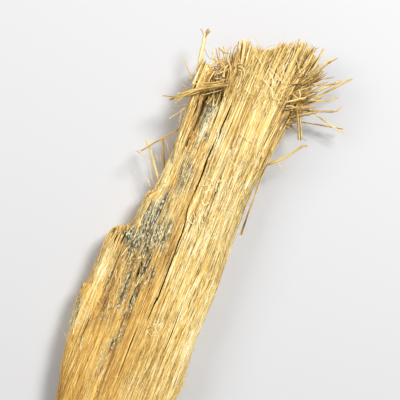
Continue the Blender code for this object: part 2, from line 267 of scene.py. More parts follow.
def end_length(x, z):
    """How far fibres reach out of a broken end, in bunches, and the shade of their ends: painted shade that
    darkens the ends that sit further in and the gaps between bunches.
    """
    bunch, bunch_edge, _ = splinters(x, z, 1.0, 1.5, 45)
    fine, fine_edge, _ = splinters(x, z, 0.28, 0.45, 46)
    reach = 0.1 + 1.7 * bunch + 0.6 * fine - 0.2 * np.exp(-fine_edge / 0.1)
    return reach, 0.5 + 0.16 * reach + 0.3 * (fine - 0.5) - 0.3 * np.exp(-bunch_edge / 0.06)


# Materials -----------------------------------------------------------------------------
# Colours from the darkest shade to the lightest: position, linear colour
STRAW_RAMP = [(0, (0.05, 0.03, 0.01)), (0.2, (0.24, 0.13, 0.03)), (0.4, (0.52, 0.31, 0.075)),
              (0.55, (0.74, 0.49, 0.13)), (0.7, (0.86, 0.65, 0.22)), (0.85, (0.95, 0.8, 0.38)),
              (1, (1, 0.94, 0.64))]
OCHRE_RAMP = [(0, (0.04, 0.022, 0.008)), (0.2, (0.2, 0.095, 0.02)), (0.4, (0.46, 0.23, 0.045)),
              (0.55, (0.66, 0.37, 0.07)), (0.7, (0.8, 0.52, 0.13)), (0.85, (0.92, 0.7, 0.25)),
              (1, (1, 0.88, 0.5))]
GREY_RAMP = [(0, (0.022, 0.023, 0.02)), (0.3, (0.085, 0.088, 0.068)), (0.5, (0.21, 0.215, 0.15)),
             (0.7, (0.42, 0.41, 0.28)), (0.85, (0.6, 0.57, 0.38)), (1, (0.82, 0.76, 0.5))]
OLIVE_RAMP = [(0, (0.03, 0.026, 0.014)), (0.3, (0.11, 0.095, 0.045)), (0.5, (0.27, 0.225, 0.1)),
              (0.7, (0.5, 0.41, 0.19)), (0.85, (0.68, 0.58, 0.3)), (1, (0.87, 0.78, 0.5))]


class Shader:
    """Small helper that adds nodes to one material and links them."""

    def __init__(self, name):
        self.material = bpy.data.materials.new(name)
        self.material.use_nodes = True
        self.tree = self.material.node_tree
        self.surface = self.tree.nodes["Principled BSDF"].inputs

    def add(self, kind, **settings):
        item = self.tree.nodes.new(kind)
        for key, value in settings.items():
            setattr(item, key, value)
        return item

    def feed(self, socket, value):
        """Set a socket to a number, or link it to another node's output."""
        if isinstance(value, (int, float)):
            socket.default_value = value
        else:
            self.tree.links.new(value, socket)

    def attribute(self, name):
        return self.add("ShaderNodeAttribute", attribute_name=name).outputs["Vector"]

    def math(self, operation, a, b, limit=False):
        item = self.add("ShaderNodeMath", operation=operation, use_clamp=limit)
        self.feed(item.inputs[0], a)
        self.feed(item.inputs[1], b)
        return item.outputs["Value"]

    def layered(self, base, layers):
        """Add noise layers to a value, each around zero and times its strength."""
        for layer, strength in layers:
            swing = self.math("MULTIPLY", self.math("SUBTRACT", layer, 0.5), strength)
            base = self.math("ADD", swing, base)
        return base

    def noise(self, vector, scale, detail, roughness):
        stretch = self.add("ShaderNodeVectorMath", operation="MULTIPLY")
        self.feed(stretch.inputs[0], vector)
        stretch.inputs[1].default_value = scale
        texture = self.add("ShaderNodeTexNoise")
        for title, value in (("Scale", 1.0), ("Detail", detail), ("Roughness", roughness)):
            texture.inputs[title].default_value = value
        self.feed(texture.inputs["Vector"], stretch.outputs["Vector"])
        return texture.outputs["Fac"]

    def ramp(self, value, stops):
        item = self.add("ShaderNodeValToRGB")
        elements = item.color_ramp.elements
        while len(elements) < len(stops):
            elements.new(0.5)
        for element, (position, colour) in zip(elements, stops):
            element.position = position
            element.color = (*colour, 1.0)
        self.feed(item.inputs["Fac"], value)
        return item.outputs["Color"]

    def mix(self, factor, a, b):
        item = self.add("ShaderNodeMix", data_type="RGBA")
        for socket, value in ((item.inputs["Factor"], factor), (item.inputs[6], a), (item.inputs[7], b)):
            self.feed(socket, value)
        return item.outputs[2]


def fibre_material(name, contrast, roughness, bump):
    """Silky fibres: straw to ochre streaks along the grain, grey-green flecks where the matrix shows."""
    s = Shader(name)
    look = s.add("ShaderNodeSeparateXYZ")
    s.feed(look.inputs[0], s.attribute("look"))
    tone, warm, grey = look.outputs
    grain = s.attribute("grain")
    streak = s.noise(grain, (1.9, 0.04, 1.0), 2.0, 0.6)
    thread = s.noise(grain, (4.8, 0.08, 1.0), 1.0, 0.6)
    hair = s.noise(grain, (9.0, 0.26, 1.0), 1.0, 0.5)
    fleck = s.noise(grain, (5.2, 1.0, 1.0), 2.0, 0.7)
    detail = s.layered(0.0, ((streak, 0.8 * contrast), (thread, 1.5 * contrast), (hair, 1.8 * contrast),
                             (fleck, 1.3 * contrast)))
    softer = s.math("SUBTRACT", 1.0, s.math("MULTIPLY", warm, 0.55))
    total = s.math("ADD", tone, s.math("MULTIPLY", detail, softer))
    colour = s.mix(warm, s.ramp(total, STRAW_RAMP), s.ramp(total, OCHRE_RAMP))
    colour = s.mix(s.math("MULTIPLY", grey, 0.5), colour, s.ramp(total, OLIVE_RAMP))
    speck = s.noise(grain, (4.6, 1.5, 1.0), 2.0, 0.7)
    shade = s.math("ADD", s.math("MULTIPLY", tone, 0.6), 0.05)
    shade = s.layered(shade, ((speck, 4.9), (hair, 2.4), (thread, 0.9)))
    matrix = s.mix(warm, s.ramp(shade, GREY_RAMP), s.ramp(shade, OLIVE_RAMP))
    mask = s.layered(s.math("MULTIPLY", grey, 0.85), ((thread, 1.4), (fleck, 1.6), (hair, 1.2)))
    edge = s.math("MULTIPLY", s.math("SUBTRACT", mask, 0.28), 2.7, limit=True)
    s.feed(s.surface["Base Color"], s.mix(edge, colour, matrix))
    s.feed(s.surface["Roughness"], s.math("ADD", s.math("MULTIPLY", streak, 0.3), roughness - 0.15))
    s.feed(s.surface["Specular IOR Level"], 0.5)
    relief = s.add("ShaderNodeBump")
    s.feed(relief.inputs["Strength"], bump)
    s.feed(relief.inputs["Distance"], 0.08 * MM)
    s.feed(relief.inputs["Height"], s.math("ADD", thread, hair))
    s.feed(s.surface["Normal"], relief.outputs["Normal"])
    return s.material


SLAB_LOOK = fibre_material("slab_fibres", 1.0, 0.5, 0.6)
STRAW_LOOK = fibre_material("loose_straws", 0.7, 0.45, 0.4)


# Meshes --------------------------------------------------------------------------------
def xyz(x, y, z):
    """Points from their coordinates, which may be arrays or single numbers."""
    return np.stack(np.broadcast_arrays(x, y, z), axis=-1)


def numbered(*shape):
    """Grid of point numbers."""
    return np.arange(math.prod(shape)).reshape(shape)


def ring_quads(index):
    """Quads between neighbouring rings, from the point numbers of the rings in the last two axes."""
    turned = np.roll(index, -1, axis=-1)
    near, far = np.s_[..., :-1, :], np.s_[..., 1:, :]
    return np.stack([index[near], turned[near], turned[far], index[far]], axis=-1).reshape(-1, 4).tolist()


def make_piece(name, points, faces, look, grain, uv, material, sharp, nodes=()):
    """Piece of the specimen from a grid of points in mm, with the attributes that its material reads. The
    columns of look, grain and uv may leave out what doesn't change. Nodes are those that it stands for."""
    def table(columns):
        return np.stack([np.broadcast_to(column, points.shape[:-1]).ravel() for column in columns], axis=-1)

    mesh = bpy.data.meshes.new(name)
    mesh.from_pydata((points.reshape(-1, 3) * MM).tolist(), [], faces)
    for title, columns in (("look", look), ("grain", grain)):
        attribute = mesh.attributes.new(title, "FLOAT_VECTOR", "POINT")
        attribute.data.foreach_set("vector", table(columns).ravel())
    layer = mesh.uv_layers.new(name="OFBake")
    corners = np.empty(len(mesh.loops), np.int64)
    mesh.loops.foreach_get("vertex_index", corners)
    layer.data.foreach_set("uv", table(uv)[corners].ravel())
    mesh.shade_smooth()
    mesh.set_sharp_from_angle(angle=math.radians(sharp))
    mesh.materials.append(material)
    piece = bpy.data.objects.new(name, mesh)
    bpy.context.scene.collection.objects.link(piece)
    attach(piece, "root")
    if nodes:
        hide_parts(*nodes)


def directions(paths, roll):
    """Directions along each fibre, across it and out of its flat side, rolled about it."""
    tangent = np.gradient(paths, axis=1)
    tangent /= np.linalg.norm(tangent, axis=2, keepdims=True)
    across = np.cross(tangent, np.array([0.0, 0.0, 1.0]))
    across /= np.maximum(np.linalg.norm(across, axis=2, keepdims=True), 1e-6)
    up = np.cross(across, tangent)
    c, s = np.cos(roll)[:, None, None], np.sin(roll)[:, None, None]
    return tangent, c * across + s * up, c * up - s * across


def uv_cells(count, steps, sides):
    """UV map with a cell for each fibre, about three times as wide as it is high."""
    columns = math.ceil(math.sqrt(count / 3.0))
    rows = math.ceil(count / columns)
    row, column = np.divmod(np.arange(count)[:, None, None], columns)
    u = column + 0.08 + 0.84 * np.linspace(0, 1, steps)[:, None]
    v = row + 0.12 + 0.76 * np.abs(np.linspace(-1, 1, sides))
    return u / columns, v / rows


def strands(name, paths, half, flat, tone, seed, sides=5, material=STRAW_LOOK, roll=None, grey=0.0,
            nodes=()):
    """Stiff fibres, all in one mesh: each is a prism of the given sides along its path, cut off blunt. It
    is flat times as deep as it is wide."""
    count, steps = paths.shape[:2]
    rng = np.random.default_rng(1000 + seed)
    if roll is None:
        roll = rng.uniform(-0.6, 0.6, count)
    tangent, across, up = directions(paths, roll)
    angle = math.tau * (np.arange(sides) + 0.5) / sides
    lumpy = 1.0 + rng.uniform(-0.18, 0.18, (count, 1, sides))
    wide = (half[:, :, None] * np.cos(angle) * lumpy)[..., None]
    deep = ((half * flat)[:, :, None] * np.sin(angle) * lumpy)[..., None]
    uneven = 1.0 + 0.13 * rng.normal(0.0, 1.0, (count, steps, 1, 1))
    uneven[:, -1] *= rng.uniform(0.35, 1.0, (count, 1, 1))
    points = paths[:, :, None, :] + (wide * across[:, :, None, :] + deep * up[:, :, None, :]) * uneven
    # broken ends are not square: the last ring leans
    lean = rng.uniform(-0.5, 0.5, (count, 1)) * half[:, -1:] * np.cos(angle)
    points[:, -1] += tangent[:, -1, None, :] * lean[..., None]
    points[..., 2] = np.maximum(points[..., 2], GROUND_GAP)
    index = numbered(count, steps, sides)
    faces = ring_quads(index) + index[:, 0, ::-1].tolist() + index[:, -1].tolist()
    length = np.cumsum(np.linalg.norm(np.diff(paths, axis=1, prepend=paths[:, :1]), axis=2), axis=1)
    girth = half.mean(axis=1)[:, None] * angle
    grain = (girth[:, None, :] + rng.uniform(0, 90, (count, 1, 1)),
             length[:, :, None] + rng.uniform(0, 90, (count, 1, 1)), rng.uniform(0, 9, (count, 1, 1)))
    lighter, warm = tint(paths[..., 0], paths[..., 1])
    look = ((tone[:, None] + lighter)[..., None], warm[..., None], np.asarray(grey)[..., None])
    uv = uv_cells(count, steps, sides)
    make_piece(name, points, faces, look, grain, uv, material, FIBRE_SHARP, nodes)


# Slab, sliver and brush body -----------------------------------------------------------
def cad_edges(node):
    """Start and end points, in mm, of all the edges of a CAD node."""
    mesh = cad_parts[node].data
    corners = np.empty(len(mesh.vertices) * 3)
    mesh.vertices.foreach_get("co", corners)
    ends = np.empty(len(mesh.edges) * 2, np.int64)
    mesh.edges.foreach_get("vertices", ends)
    points = corners.reshape(-1, 3) / MM
    return points[ends[::2]], points[ends[1::2]]


def convex_section(a, b, y):
    """Convex outline in x and z of the body with edges from a to b, where it crosses y."""
    crossing = (a[:, 1] - y) * (b[:, 1] - y) < 0
    p, q = a[crossing], b[crossing]
    t = ((y - p[:, 1]) / (q[:, 1] - p[:, 1]))[:, None]
    cut = (p + t * (q - p))[:, [0, 2]]
    return cut[geometry.convex_hull_2d(cut.tolist())]


def sections(node, stations, columns, anchor, right_share):
    """Convex sections of a CAD node across Y, as a grid of points, and their distance around it.

    Each section runs from the underside up its right side and over the top to x = anchor in the first
    part of its columns, and on over the left side in the rest. So the columns of the right part keep
    their places where only the left edge steps in or out. Distances start at the anchor.
    """
    a, b = cad_edges(node)
    first = int(columns * right_share)
    points, arcs = [], []
    for y in stations:
        hull = convex_section(a, b, y)
        low, high = hull[:, 0].min(), hull[:, 0].max()
        over = min(max(anchor, low + SEAM * (high - low)), low + (1 - SEAM) * (high - low))
        ring = []
        for here, after in zip(hull, np.roll(hull, -1, axis=0)):
            ring.append(here)
            if (here[0] - over) * (after[0] - over) < 0:
                ring.append(here + (over - here[0]) / (after[0] - here[0]) * (after - here))
        ring = np.array(ring)
        at_anchor = np.abs(ring[:, 0] - over) < 1e-6
        ring = np.roll(ring, -int(np.argmin(np.where(at_anchor, ring[:, 1], 99.0))), axis=0)
        ring = np.vstack([ring, ring[:1]])
        top = 1 + int(np.argmin(np.abs(ring[1:-1, 0] - over)))
        size = np.hypot(*np.diff(ring, axis=0).T)
        hidden = 0.5 * (ring[1:, 1] + ring[:-1, 1]) < UNDERSIDE_HEIGHT
        distance = np.concatenate([[0.0], np.cumsum(size)])
        reach = np.concatenate([[0.0], np.cumsum(np.where(hidden, UNDERSIDE_DENSITY, 1.0) * size)])
        want = np.concatenate([np.linspace(0.0, reach[top], first, endpoint=False),
                               np.linspace(reach[top], reach[-1], columns - first, endpoint=False)])
        x, z = np.interp(want, reach, ring[:, 0]), np.interp(want, reach, ring[:, 1])
        points.append(xyz(x, y, z))
        arcs.append(np.interp(want, reach, distance) - distance[top])
    return np.array(points), np.array(arcs)


def surface_normals(points):
    """Outward directions of a grid of sections."""
    around = np.roll(points, -3, axis=1) - np.roll(points, 3, axis=1)
    normal = np.cross(np.gradient(points, axis=0), around)
    normal[..., 1] *= 0.3
    return normal / np.maximum(np.linalg.norm(normal, axis=2, keepdims=True), 1e-9)


def across_grain(points):
    """Place of each point of the slab across its straight fibres: x on its top, and height on its walls."""
    normal = surface_normals(points)
    x, z = points[..., 0], points[..., 2]
    side = normal[..., 0] ** 2 / (normal[..., 0] ** 2 + normal[..., 2] ** 2 + 1e-6)
    side = clamp(2.0 * side - 0.6)
    right = x > EDGE_MIDDLE
    wall = np.where(right, RIGHT_WALL + SLAB_TOP - z, z - SLAB_TOP + LEFT_WALL)
    below = np.where(right, RIGHT_WALL + SLAB_TOP + RIGHT_WALL - x, LEFT_WALL - SLAB_TOP + LEFT_WALL - x)
    flat = np.where(normal[..., 2] > 0, x, below)
    return flat * (1.0 - side) + wall * side


def follow_edges(points):
    """Move the walls of the slab's sections, so that its outline from above has every nick of its edges."""
    x, y = points[..., 0], points[:, :1, 1]
    moved = points.copy()
    for edge, wall in ((LEFT_EDGE, x.min(axis=1, keepdims=True)), (RIGHT_EDGE, x.max(axis=1, keepdims=True))):
        fade = clamp((y - edge[0][1]) / 1.5 + 1.0) * clamp((edge[-1][1] - y) / 1.5 + 1.0)
        shift = (x_of(edge, y) - wall) * fade
        share = clamp((x - EDGE_MIDDLE) / (wall - EDGE_MIDDLE))
        moved[..., 0] += np.clip(shift, -1.6, 1.6) * share ** 2
    return moved


def hollow_out(points, x, y, relief):
    """Sink the slab's upper left corner to the floor of its hollow. Returns how far each point is in it."""
    edge = np.minimum(clamp((HOLLOW_X[1] - x) / 0.25), clamp((y - HOLLOW_START - 0.25 * (x + 4.0)) / 0.5))
    edge = edge * (x > HOLLOW_X[0])
    sunk = HOLLOW_FLOOR + relief
    z = points[..., 2]
    points[..., 2] = np.where(z > sunk, z * (1 - edge) + sunk * edge, z)
    return edge


def block(name, points, across, slot, node, shift=0.0, top_of_slab=False, tone=0.6):
    """A fibrous body from a grid of sections, with splintered relief all round and an open last end. The
    slab's own is open at both, and has its corner hollowed out and laths that stop short of the brush. A
    shift across the grain gives a body splinters of its own."""
    rows, columns = points.shape[:2]
    arc = across + shift
    normal = surface_normals(points)
    x, y = points[..., 0], points[..., 1]
    on_top = clamp((normal[..., 2] - 0.5) * 4.0)
    under = clamp(-normal[..., 2] * 3.0)
    bend = 0.26 * wave(arc * 0.4, y * 0.07, 13)
    slat, slat_edge, slat_lean = splinters(arc + bend, y, 1.1, 44.0, 11)
    sliver, sliver_edge, sliver_lean = splinters(arc + bend + 0.012 * y, y, 0.42, 24.0, 14)
    thread, _, thread_lean = splinters(arc + 0.5 * bend - 0.015 * y, y, 0.19, 11.0, 17)
    height = 0.1 * (slat - 0.5) + 0.1 * slat_lean + 0.07 * (sliver - 0.5) + 0.1 * sliver_lean
    height += 0.035 * (thread - 0.5) + 0.05 * thread_lean
    height += 0.3 * wave(arc * 0.35, y * 0.06, 21)
    height -= 0.06 * np.exp(-slat_edge / 0.04) + 0.04 * np.exp(-sliver_edge / 0.05)
    height *= (1.0 - 0.6 * under) * raggedness(y)
    depth, inside = split_depth(x, y)
    depth, inside = depth * on_top, inside * on_top
    grey = matrix_strength(x, y) * clamp(1.6 * normal[..., 2] + 0.3)
    pitted = clamp(wave(x * 3.1, y * 0.8, 41)) * clamp(grey * 1.5)
    moved = points + normal * (height - pitted * 0.55)[..., None]
    moved[..., 2] -= depth
    if top_of_slab:
        moved[..., 1] -= end_length(x[0], points[0, :, 2])[0] * clamp((END_START - y) / 2.4)
        stop = 21.4 + 2.6 * slat + 2.6 * sliver
        moved[..., 2] -= 0.5 * clamp((y - stop) / 0.2) * on_top * (x > HOLLOW_X[1])
        sunk = hollow_out(moved, x, y, 0.5 * (slat - 0.5) + 0.3 * (sliver - 0.5))
        # painted shade on the floor of the hollow, as inside a split
        inside = np.maximum(inside, 0.6 * sunk * on_top)
    # the underside stays on the surface that the slab lies on
    moved[..., 2] = np.maximum(moved[..., 2] + 0.1 * under, 0.0)
    shade = 0.14 * (slat - 0.5) + 0.22 * (sliver - 0.5) + 0.2 * (thread - 0.5)
    shade = tone + raggedness(y) * (shade + 0.16 * wave(arc * 0.5, y * 0.04, 61))
    # painted shade: darker inside the splits and the hollow, along the grooves between slats, and on the
    # brush body beyond y = 31, under its straws
    shade -= 0.5 * inside + 0.6 * pitted + 0.08 * np.exp(-slat_edge / 0.05) + 0.25 * clamp((y - 31.0) / 2.0)
    lighter, warm = tint(x, y)
    index = numbered(rows, columns)
    faces = ring_quads(index) + ([] if top_of_slab else [index[0, ::-1].tolist()])
    u, v = [np.linspace(UV_MARGIN, 1 - UV_MARGIN, number) for number in (columns, rows)]
    look, grain = (shade + lighter, warm, grey), (arc + bend, y, 0.0)
    make_piece(name, moved, faces, look, grain, (u, v[:, None]), SLAB_LOOK, BODY_SHARP, [node])
    return Body(moved, across, normal)


def broken_end(name, ring, way, steps, tone=0.0, sunk=0.0):
    """Splintery end of a body, as rings that shrink from its last section to a middle. It faces along +Y
    where way is 1, and along -Y where it is -1."""
    ring = ring[::2]
    shrink = np.linspace(0.0, 1.0, steps)[:, None]
    points = ring + (ring.mean(axis=0) - ring) * shrink[..., None]
    x, z = points[..., 0], points[..., 2]
    reach, shade = end_length(x, z)
    points[1:, :, 1] += way * (reach[1:] - reach.mean() - sunk)
    _, warm = tint(x, points[..., 1])
    faces = [quad[::way] for quad in ring_quads(numbered(steps, len(ring)))]
    uv = [UV_MARGIN + (1 - 2 * UV_MARGIN) * (side - side.min()) / np.ptp(side) for side in (x, z)]
    make_piece(name, points, faces, (shade + tone, warm, 0.0), (x, z * 14.0, 5.0), uv, SLAB_LOOK,
               BODY_SHARP)
    return points


def sliver_sections():
    """Sections of the sliver and their places across the grain. Its foot is carried on into the slab,
    where it sinks and narrows."""
    stations = np.linspace(SLIVER_FOOT, SLIVER_END, 30)
    points, arc = sections("left_sliver", stations, columns=260, anchor=-5.6, right_share=0.5)
    down = np.linspace(1.0, 0.0, 13, endpoint=False)[:, None]
    foot = points[0]
    x, z = foot[:, 0].max() - 0.3, 4.0
    root = xyz(x + (foot[:, 0] - x) * (1 - 0.75 * down ** 2), SLIVER_FOOT - SLIVER_ROOT * down,
               z + (foot[:, 2] - z) * (1 - 0.35 * down ** 2))
    return np.concatenate([root, points]), np.concatenate([np.repeat(arc[:1], len(down), axis=0), arc])


def brush_sections():
    """A section of the slab, carried on inside the brush and cut off ragged below the straw tips, and its
    places across the grain."""
    steps = np.linspace(0.0, 1.0, 36)[:, None]
    start = int(np.argmin(np.abs(SLAB_STATIONS - BRUSH_SECTION)))
    ring, across = slab_points[start], slab_across[start]
    x = np.maximum(ring[:, 0], HOLLOW_X[1] - 0.2)
    shorter = splinters(across, np.zeros(across.shape), 0.5, 1.0, 71)[0]
    end = along(BRUSH_OUTLINE, x + 0.3) - 1.3 - 2.4 * shorter
    y = BRUSH_START + steps * (end - BRUSH_START)
    side = (x - x.min()) / (x.max() - x.min())
    out = clamp((y - 26.5) / 6.0)
    wide = x + out * (1.1 * side ** 3 - 0.3 * (1 - side) ** 3) - 1.3 * np.sqrt(out) * side ** 6
    sink = 0.022 + 0.1 * clamp((y - 29.5) / 4.0)
    return xyz(wide, y, ring[:, 2] * (1.0 - sink)), np.broadcast_to(across, y.shape)


slab_points = follow_edges(sections("slab", SLAB_STATIONS, columns=800, anchor=-3.3, right_share=0.72)[0])
slab_across = across_grain(slab_points)
slab = block("slab_body", slab_points, slab_across, "slab", "slab", top_of_slab=True)
slab_end = broken_end("slab_end", slab.grid[0], way=-1, steps=50)
# the slab's far end lies inside the brush: its lower tone is painted shade
slab_far_end = broken_end("slab_far_end", slab.grid[-1], way=1, steps=20, tone=-0.1)
sliver = block("left_sliver_body", *sliver_sections(), "slab", "left_sliver", shift=-2.3, tone=0.58)
sliver_end = broken_end("sliver_end", sliver.grid[-1], way=1, steps=24, sunk=1.2)
brush = block("brush_body", *brush_sections(), "brush", "frayed_brush", tone=0.64)
# the brush's end lies deep among its straws: its lower tone is painted shade
brush_end = broken_end("brush_end", brush.grid[-1], way=1, steps=36, tone=-0.12)


# Splinters lying on the bodies ---------------------------------------------------------
def on_grid(grid, row, column):
    """Points of a grid of sections at fractional rows and columns."""
    rows, columns = grid.shape[:2]
    row = np.clip(row, 0.0, rows - 1.001)
    i, j = np.floor(row).astype(int), np.floor(column).astype(int)
    s, t = (row - i)[..., None], (column - j)[..., None]
    near = grid[i, j % columns] * (1 - t) + grid[i, (j + 1) % columns] * t
    far = grid[i + 1, j % columns] * (1 - t) + grid[i + 1, (j + 1) % columns] * t
    return near * (1 - s) + far * s


def trace(across, row, column, line):
    """Columns of a grid at which each line across the grain lies, row by row, and how far off it is."""
    columns = across.shape[1]
    search = np.arange(-24, 25)
    picked = np.arange(len(column))
    found, missed = np.empty(row.shape), np.empty(row.shape)
    for k in range(row.shape[1]):
        values = across[row[:, k]]
        near = (column[:, None] + search) % columns
        off = np.take_along_axis(values, near, axis=1) - line[:, k:k + 1]
        best = np.argmin(np.abs(off) + 0.001 * np.abs(search), axis=1)
        column = near[picked, best]
        missed[:, k] = np.abs(off[picked, best])
        ahead = values[picked, (column + 1) % columns] - values[picked, column]
        part = -off[picked, best] / np.where(np.abs(ahead) < 0.01, 9.0, ahead)
        found[:, k] = column + np.clip(part, -0.5, 0.5)
    return found % columns, missed.max(axis=1)


def lay_splinters(name, body, count, seed, length, width, lift, steps=6, tone=0.64, skew=0.03):
    """Long thin laths along the grain, half sunk in a body's surface, with ends that stand up a little."""
    grid, across, normal = body
    rng = np.random.default_rng(seed)
    rows, columns = grid.shape[:2]
    stations = grid[:, 0, 1]
    size = mostly_thin(rng, length, count)
    start = rng.uniform(stations[0] - 0.8, stations[-1], count)
    t = np.linspace(0, 1, steps)
    y = start[:, None] + size[:, None] * t
    row = np.interp(y, stations, np.arange(rows))
    nearest_row = np.rint(row).astype(int)
    column = rng.integers(0, columns, count)
    line = across[nearest_row[:, 0], column][:, None] + rng.normal(0.0, skew, (count, 1)) * size[:, None] * t
    line += rng.normal(0.0, 0.04, (count, 1)) * np.sin(6 * t)
    column, missed = trace(across, nearest_row, column, line)
    out = on_grid(normal, row, column)
    ends = rng.random((2, count, 1)) ** 3 * lift
    rise = 0.015 + (ends[0] * (1 - t) ** 3 + ends[1] * t ** 3) * raggedness(y) ** 2
    paths = on_grid(grid, row, column) + out * rise[..., None]
    paths[..., 1] = y
    crack = split_depth(paths[..., 0], paths[..., 1])[1].max(axis=1)
    # those go that reach past the body's end, over an open split or round to the underside, or that jump
    keep = ((y < stations[-1]) & (missed < 0.12)[:, None]).all(axis=1)
    keep &= ((crack < OPEN_SPLIT) | (out[:, 0, 2] < 0.5)) & (out[..., 2].min(axis=1) > -0.6)
    keep &= rng.random(count) < 2.2 * raggedness(paths[:, 0, 1]) - 1.0
    keep &= np.abs(np.diff(paths[..., 0], axis=1)).max(axis=1) < 0.12 + 0.06 * size
    paths, out = paths[keep], out[keep]
    count = len(paths)
    half = mostly_thin(rng, width, count)[:, None] * np.ones(steps)
    half = half * (0.4 + 0.6 * np.sin(np.pi * (0.1 + 0.82 * t)))
    flat = rng.uniform(0.25, 0.5, (count, 1))
    facing = np.arctan2(out[:, 2, 0], out[:, 2, 2]) + rng.normal(0.0, 0.25, count)
    tones = tone + rng.normal(0.0, 0.14, count) * raggedness(paths[:, 0, 1])
    greyed = (out[..., 2] > 0.5) * (rng.random((count, 1)) < 0.45)
    grey = matrix_strength(paths[..., 0], paths[..., 1]) * greyed
    strands(name, paths, half, flat, tones, seed, sides=4, material=SLAB_LOOK, roll=-facing, grey=grey)


# name, body, count, seed, lengths, half widths, lift
lay_splinters("slab_splinters", slab, 1900, 1, (3, 18), (0.05, 0.16), 0.2, skew=0.015)
lay_splinters("slab_threads", slab, 6000, 2, (1, 11), (0.02, 0.06), 0.3, steps=5, tone=0.7,
              skew=0.035)
lay_splinters("sliver_splinters", sliver, 320, 3, (1.5, 9), (0.03, 0.14), 0.3, tone=0.56)
lay_splinters("brush_splinters", brush, 500, 4, (1.5, 8), (0.05, 0.2), 0.5)


# Frayed end ----------------------------------------------------------------------------
TOP_TREES = [bvhtree.BVHTree.FromPolygons(grid.reshape(-1, 3).tolist(), ring_quads(numbered(*grid.shape[:2])))
             for grid in (slab.grid, brush.grid)]


def top_height(x, y):
    """Height of the slab's or the brush body's top at each point, or 0 beyond them."""
    heights = []
    for a, b in zip(x.ravel(), y.ravel()):
        hits = [tree.ray_cast((a, b, 20.0), (0.0, 0.0, -1.0))[0] for tree in TOP_TREES]
        heights.append(max([hit.z for hit in hits if hit is not None], default=0.0))
    return np.array(heights).reshape(x.shape)


def tuft(x, layer, seed):
    """Numbers in 0..1 that each straw shares with its neighbours, as they stand in tufts."""
    width = 0.55 + 0.3 * hash01(np.floor(layer * 4.0), np.zeros(x.shape), 80)
    return hash01(np.floor(x / width + 0.25 * layer), np.floor(layer * 4.0), seed)


def straw_tips(root_x, layer, rng):
    """Where straws that start at the given x and layer end: fanned out, in tufts, most at the outline."""
    count = len(root_x)
    side = clamp((root_x + 1.8) / 10.1)
    fan = 0.2 + 1.5 * side ** 3 - 0.5 * (1 - side) ** 3
    x = root_x + fan + 1.5 * (tuft(root_x, layer, 81) - 0.5) + rng.normal(0.0, 0.2, count)
    ragged = np.where(rng.random(count) < 0.4, rng.uniform(-0.5, 0.5, count), rng.exponential(1.3, count))
    drop = (1.2 + 1.6 * side) * tuft(root_x, layer, 82) ** 2 + ragged
    return x, along(BRUSH_OUTLINE, x) - np.minimum(drop, 6.0)


def rods(name, paths, half, tone, tip_x, rng, seed, flat=0.8, right_shade=0.4):
    """Straws along the given paths, with painted shade that darkens them towards the brush's right side."""
    count, steps = paths.shape[:2]
    size = mostly_thin(rng, half, count)[:, None]
    shrink = 1.0 - rng.uniform(0.1, 0.7, (count, 1)) * np.linspace(0, 1, steps) ** 2
    tones = tone + rng.normal(0.0, 0.17, count) - right_shade * clamp((tip_x - 6.0) / 3.0)
    tones = np.minimum(tones, 0.84 - 0.2 * clamp(size[:, 0] / 0.4))
    strands(name, paths, size * shrink, flat * rng.uniform(0.75, 1.1, (count, 1)), tones, seed)


def brush_core(name, count, seed, half, tone):
    """Straws inside the brush, from the body's broken end to the outline, on all levels."""
    rng = np.random.default_rng(seed)
    root_x = rng.uniform(-1.6, 8.1, count)
    layer = rng.uniform(0.0, 0.86, count)
    tip_x, tip_y = straw_tips(root_x, layer, rng)
    root = xyz(root_x, rng.uniform(26.0, 31.0, count), 0.6 + 7.4 * layer)
    tip = xyz(tip_x, tip_y, root[:, 2] + (layer - 0.5) * 1.2 + rng.normal(0.0, 0.3, count))
    t = np.linspace(0, 1, 6)[None, :, None]
    bow = rng.normal(0.0, 0.14, (count, 1, 3)) * np.array([1.0, 0.0, 0.7])
    paths = root[:, None] * (1 - t) + tip[:, None] * t + bow * np.sin(np.pi * t)
    rods(name, paths, half, tone, tip_x, rng, seed)


def brush_face(name, count, seed, half, tone, lengths, stray, flat):
    """Straws of the brush's top: they rise slowly out of the slab's surface and end in the air."""
    rng = np.random.default_rng(seed)
    root_x = rng.uniform(-1.5, 7.9, count)
    layer = 1.0 + rng.integers(0, 2, count) * 0.25
    tip_x, tip_y = straw_tips(root_x, layer, rng)
    tip_x += rng.normal(0.0, stray, count)
    length = rng.uniform(*lengths, count)
    t = np.linspace(0, 1, 7)
    lean = (tip_x - root_x)[:, None] * t ** 1.5
    x = root_x[:, None] + lean + rng.normal(0.0, 0.08, (count, 1)) * np.sin(np.pi * t)
    y = (tip_y - length)[:, None] + length[:, None] * t
    base = top_height(x, y)
    last = np.maximum.accumulate(np.where(base > TOP_LEVEL, base, 0.0), axis=1)
    lift = 0.9 * tuft(root_x, layer, 83) - 0.45 + rng.normal(0.0, 0.12, count)
    z = np.maximum(last, LOWEST_FACE) + lift[:, None] * t ** 1.5 - 0.14 * (1 - t) ** 2
    z += rng.uniform(0.0, 0.1, (count, 1))
    tones = tone + 0.3 * (tuft(root_x, layer, 84) - 0.5)
    clear = split_depth(x, y)[1].max(axis=1) < OPEN_SPLIT
    paths = xyz(x, y, z)
    rods(name, paths[clear], half, tones[clear], tip_x[clear], rng, seed, flat, 0.1)


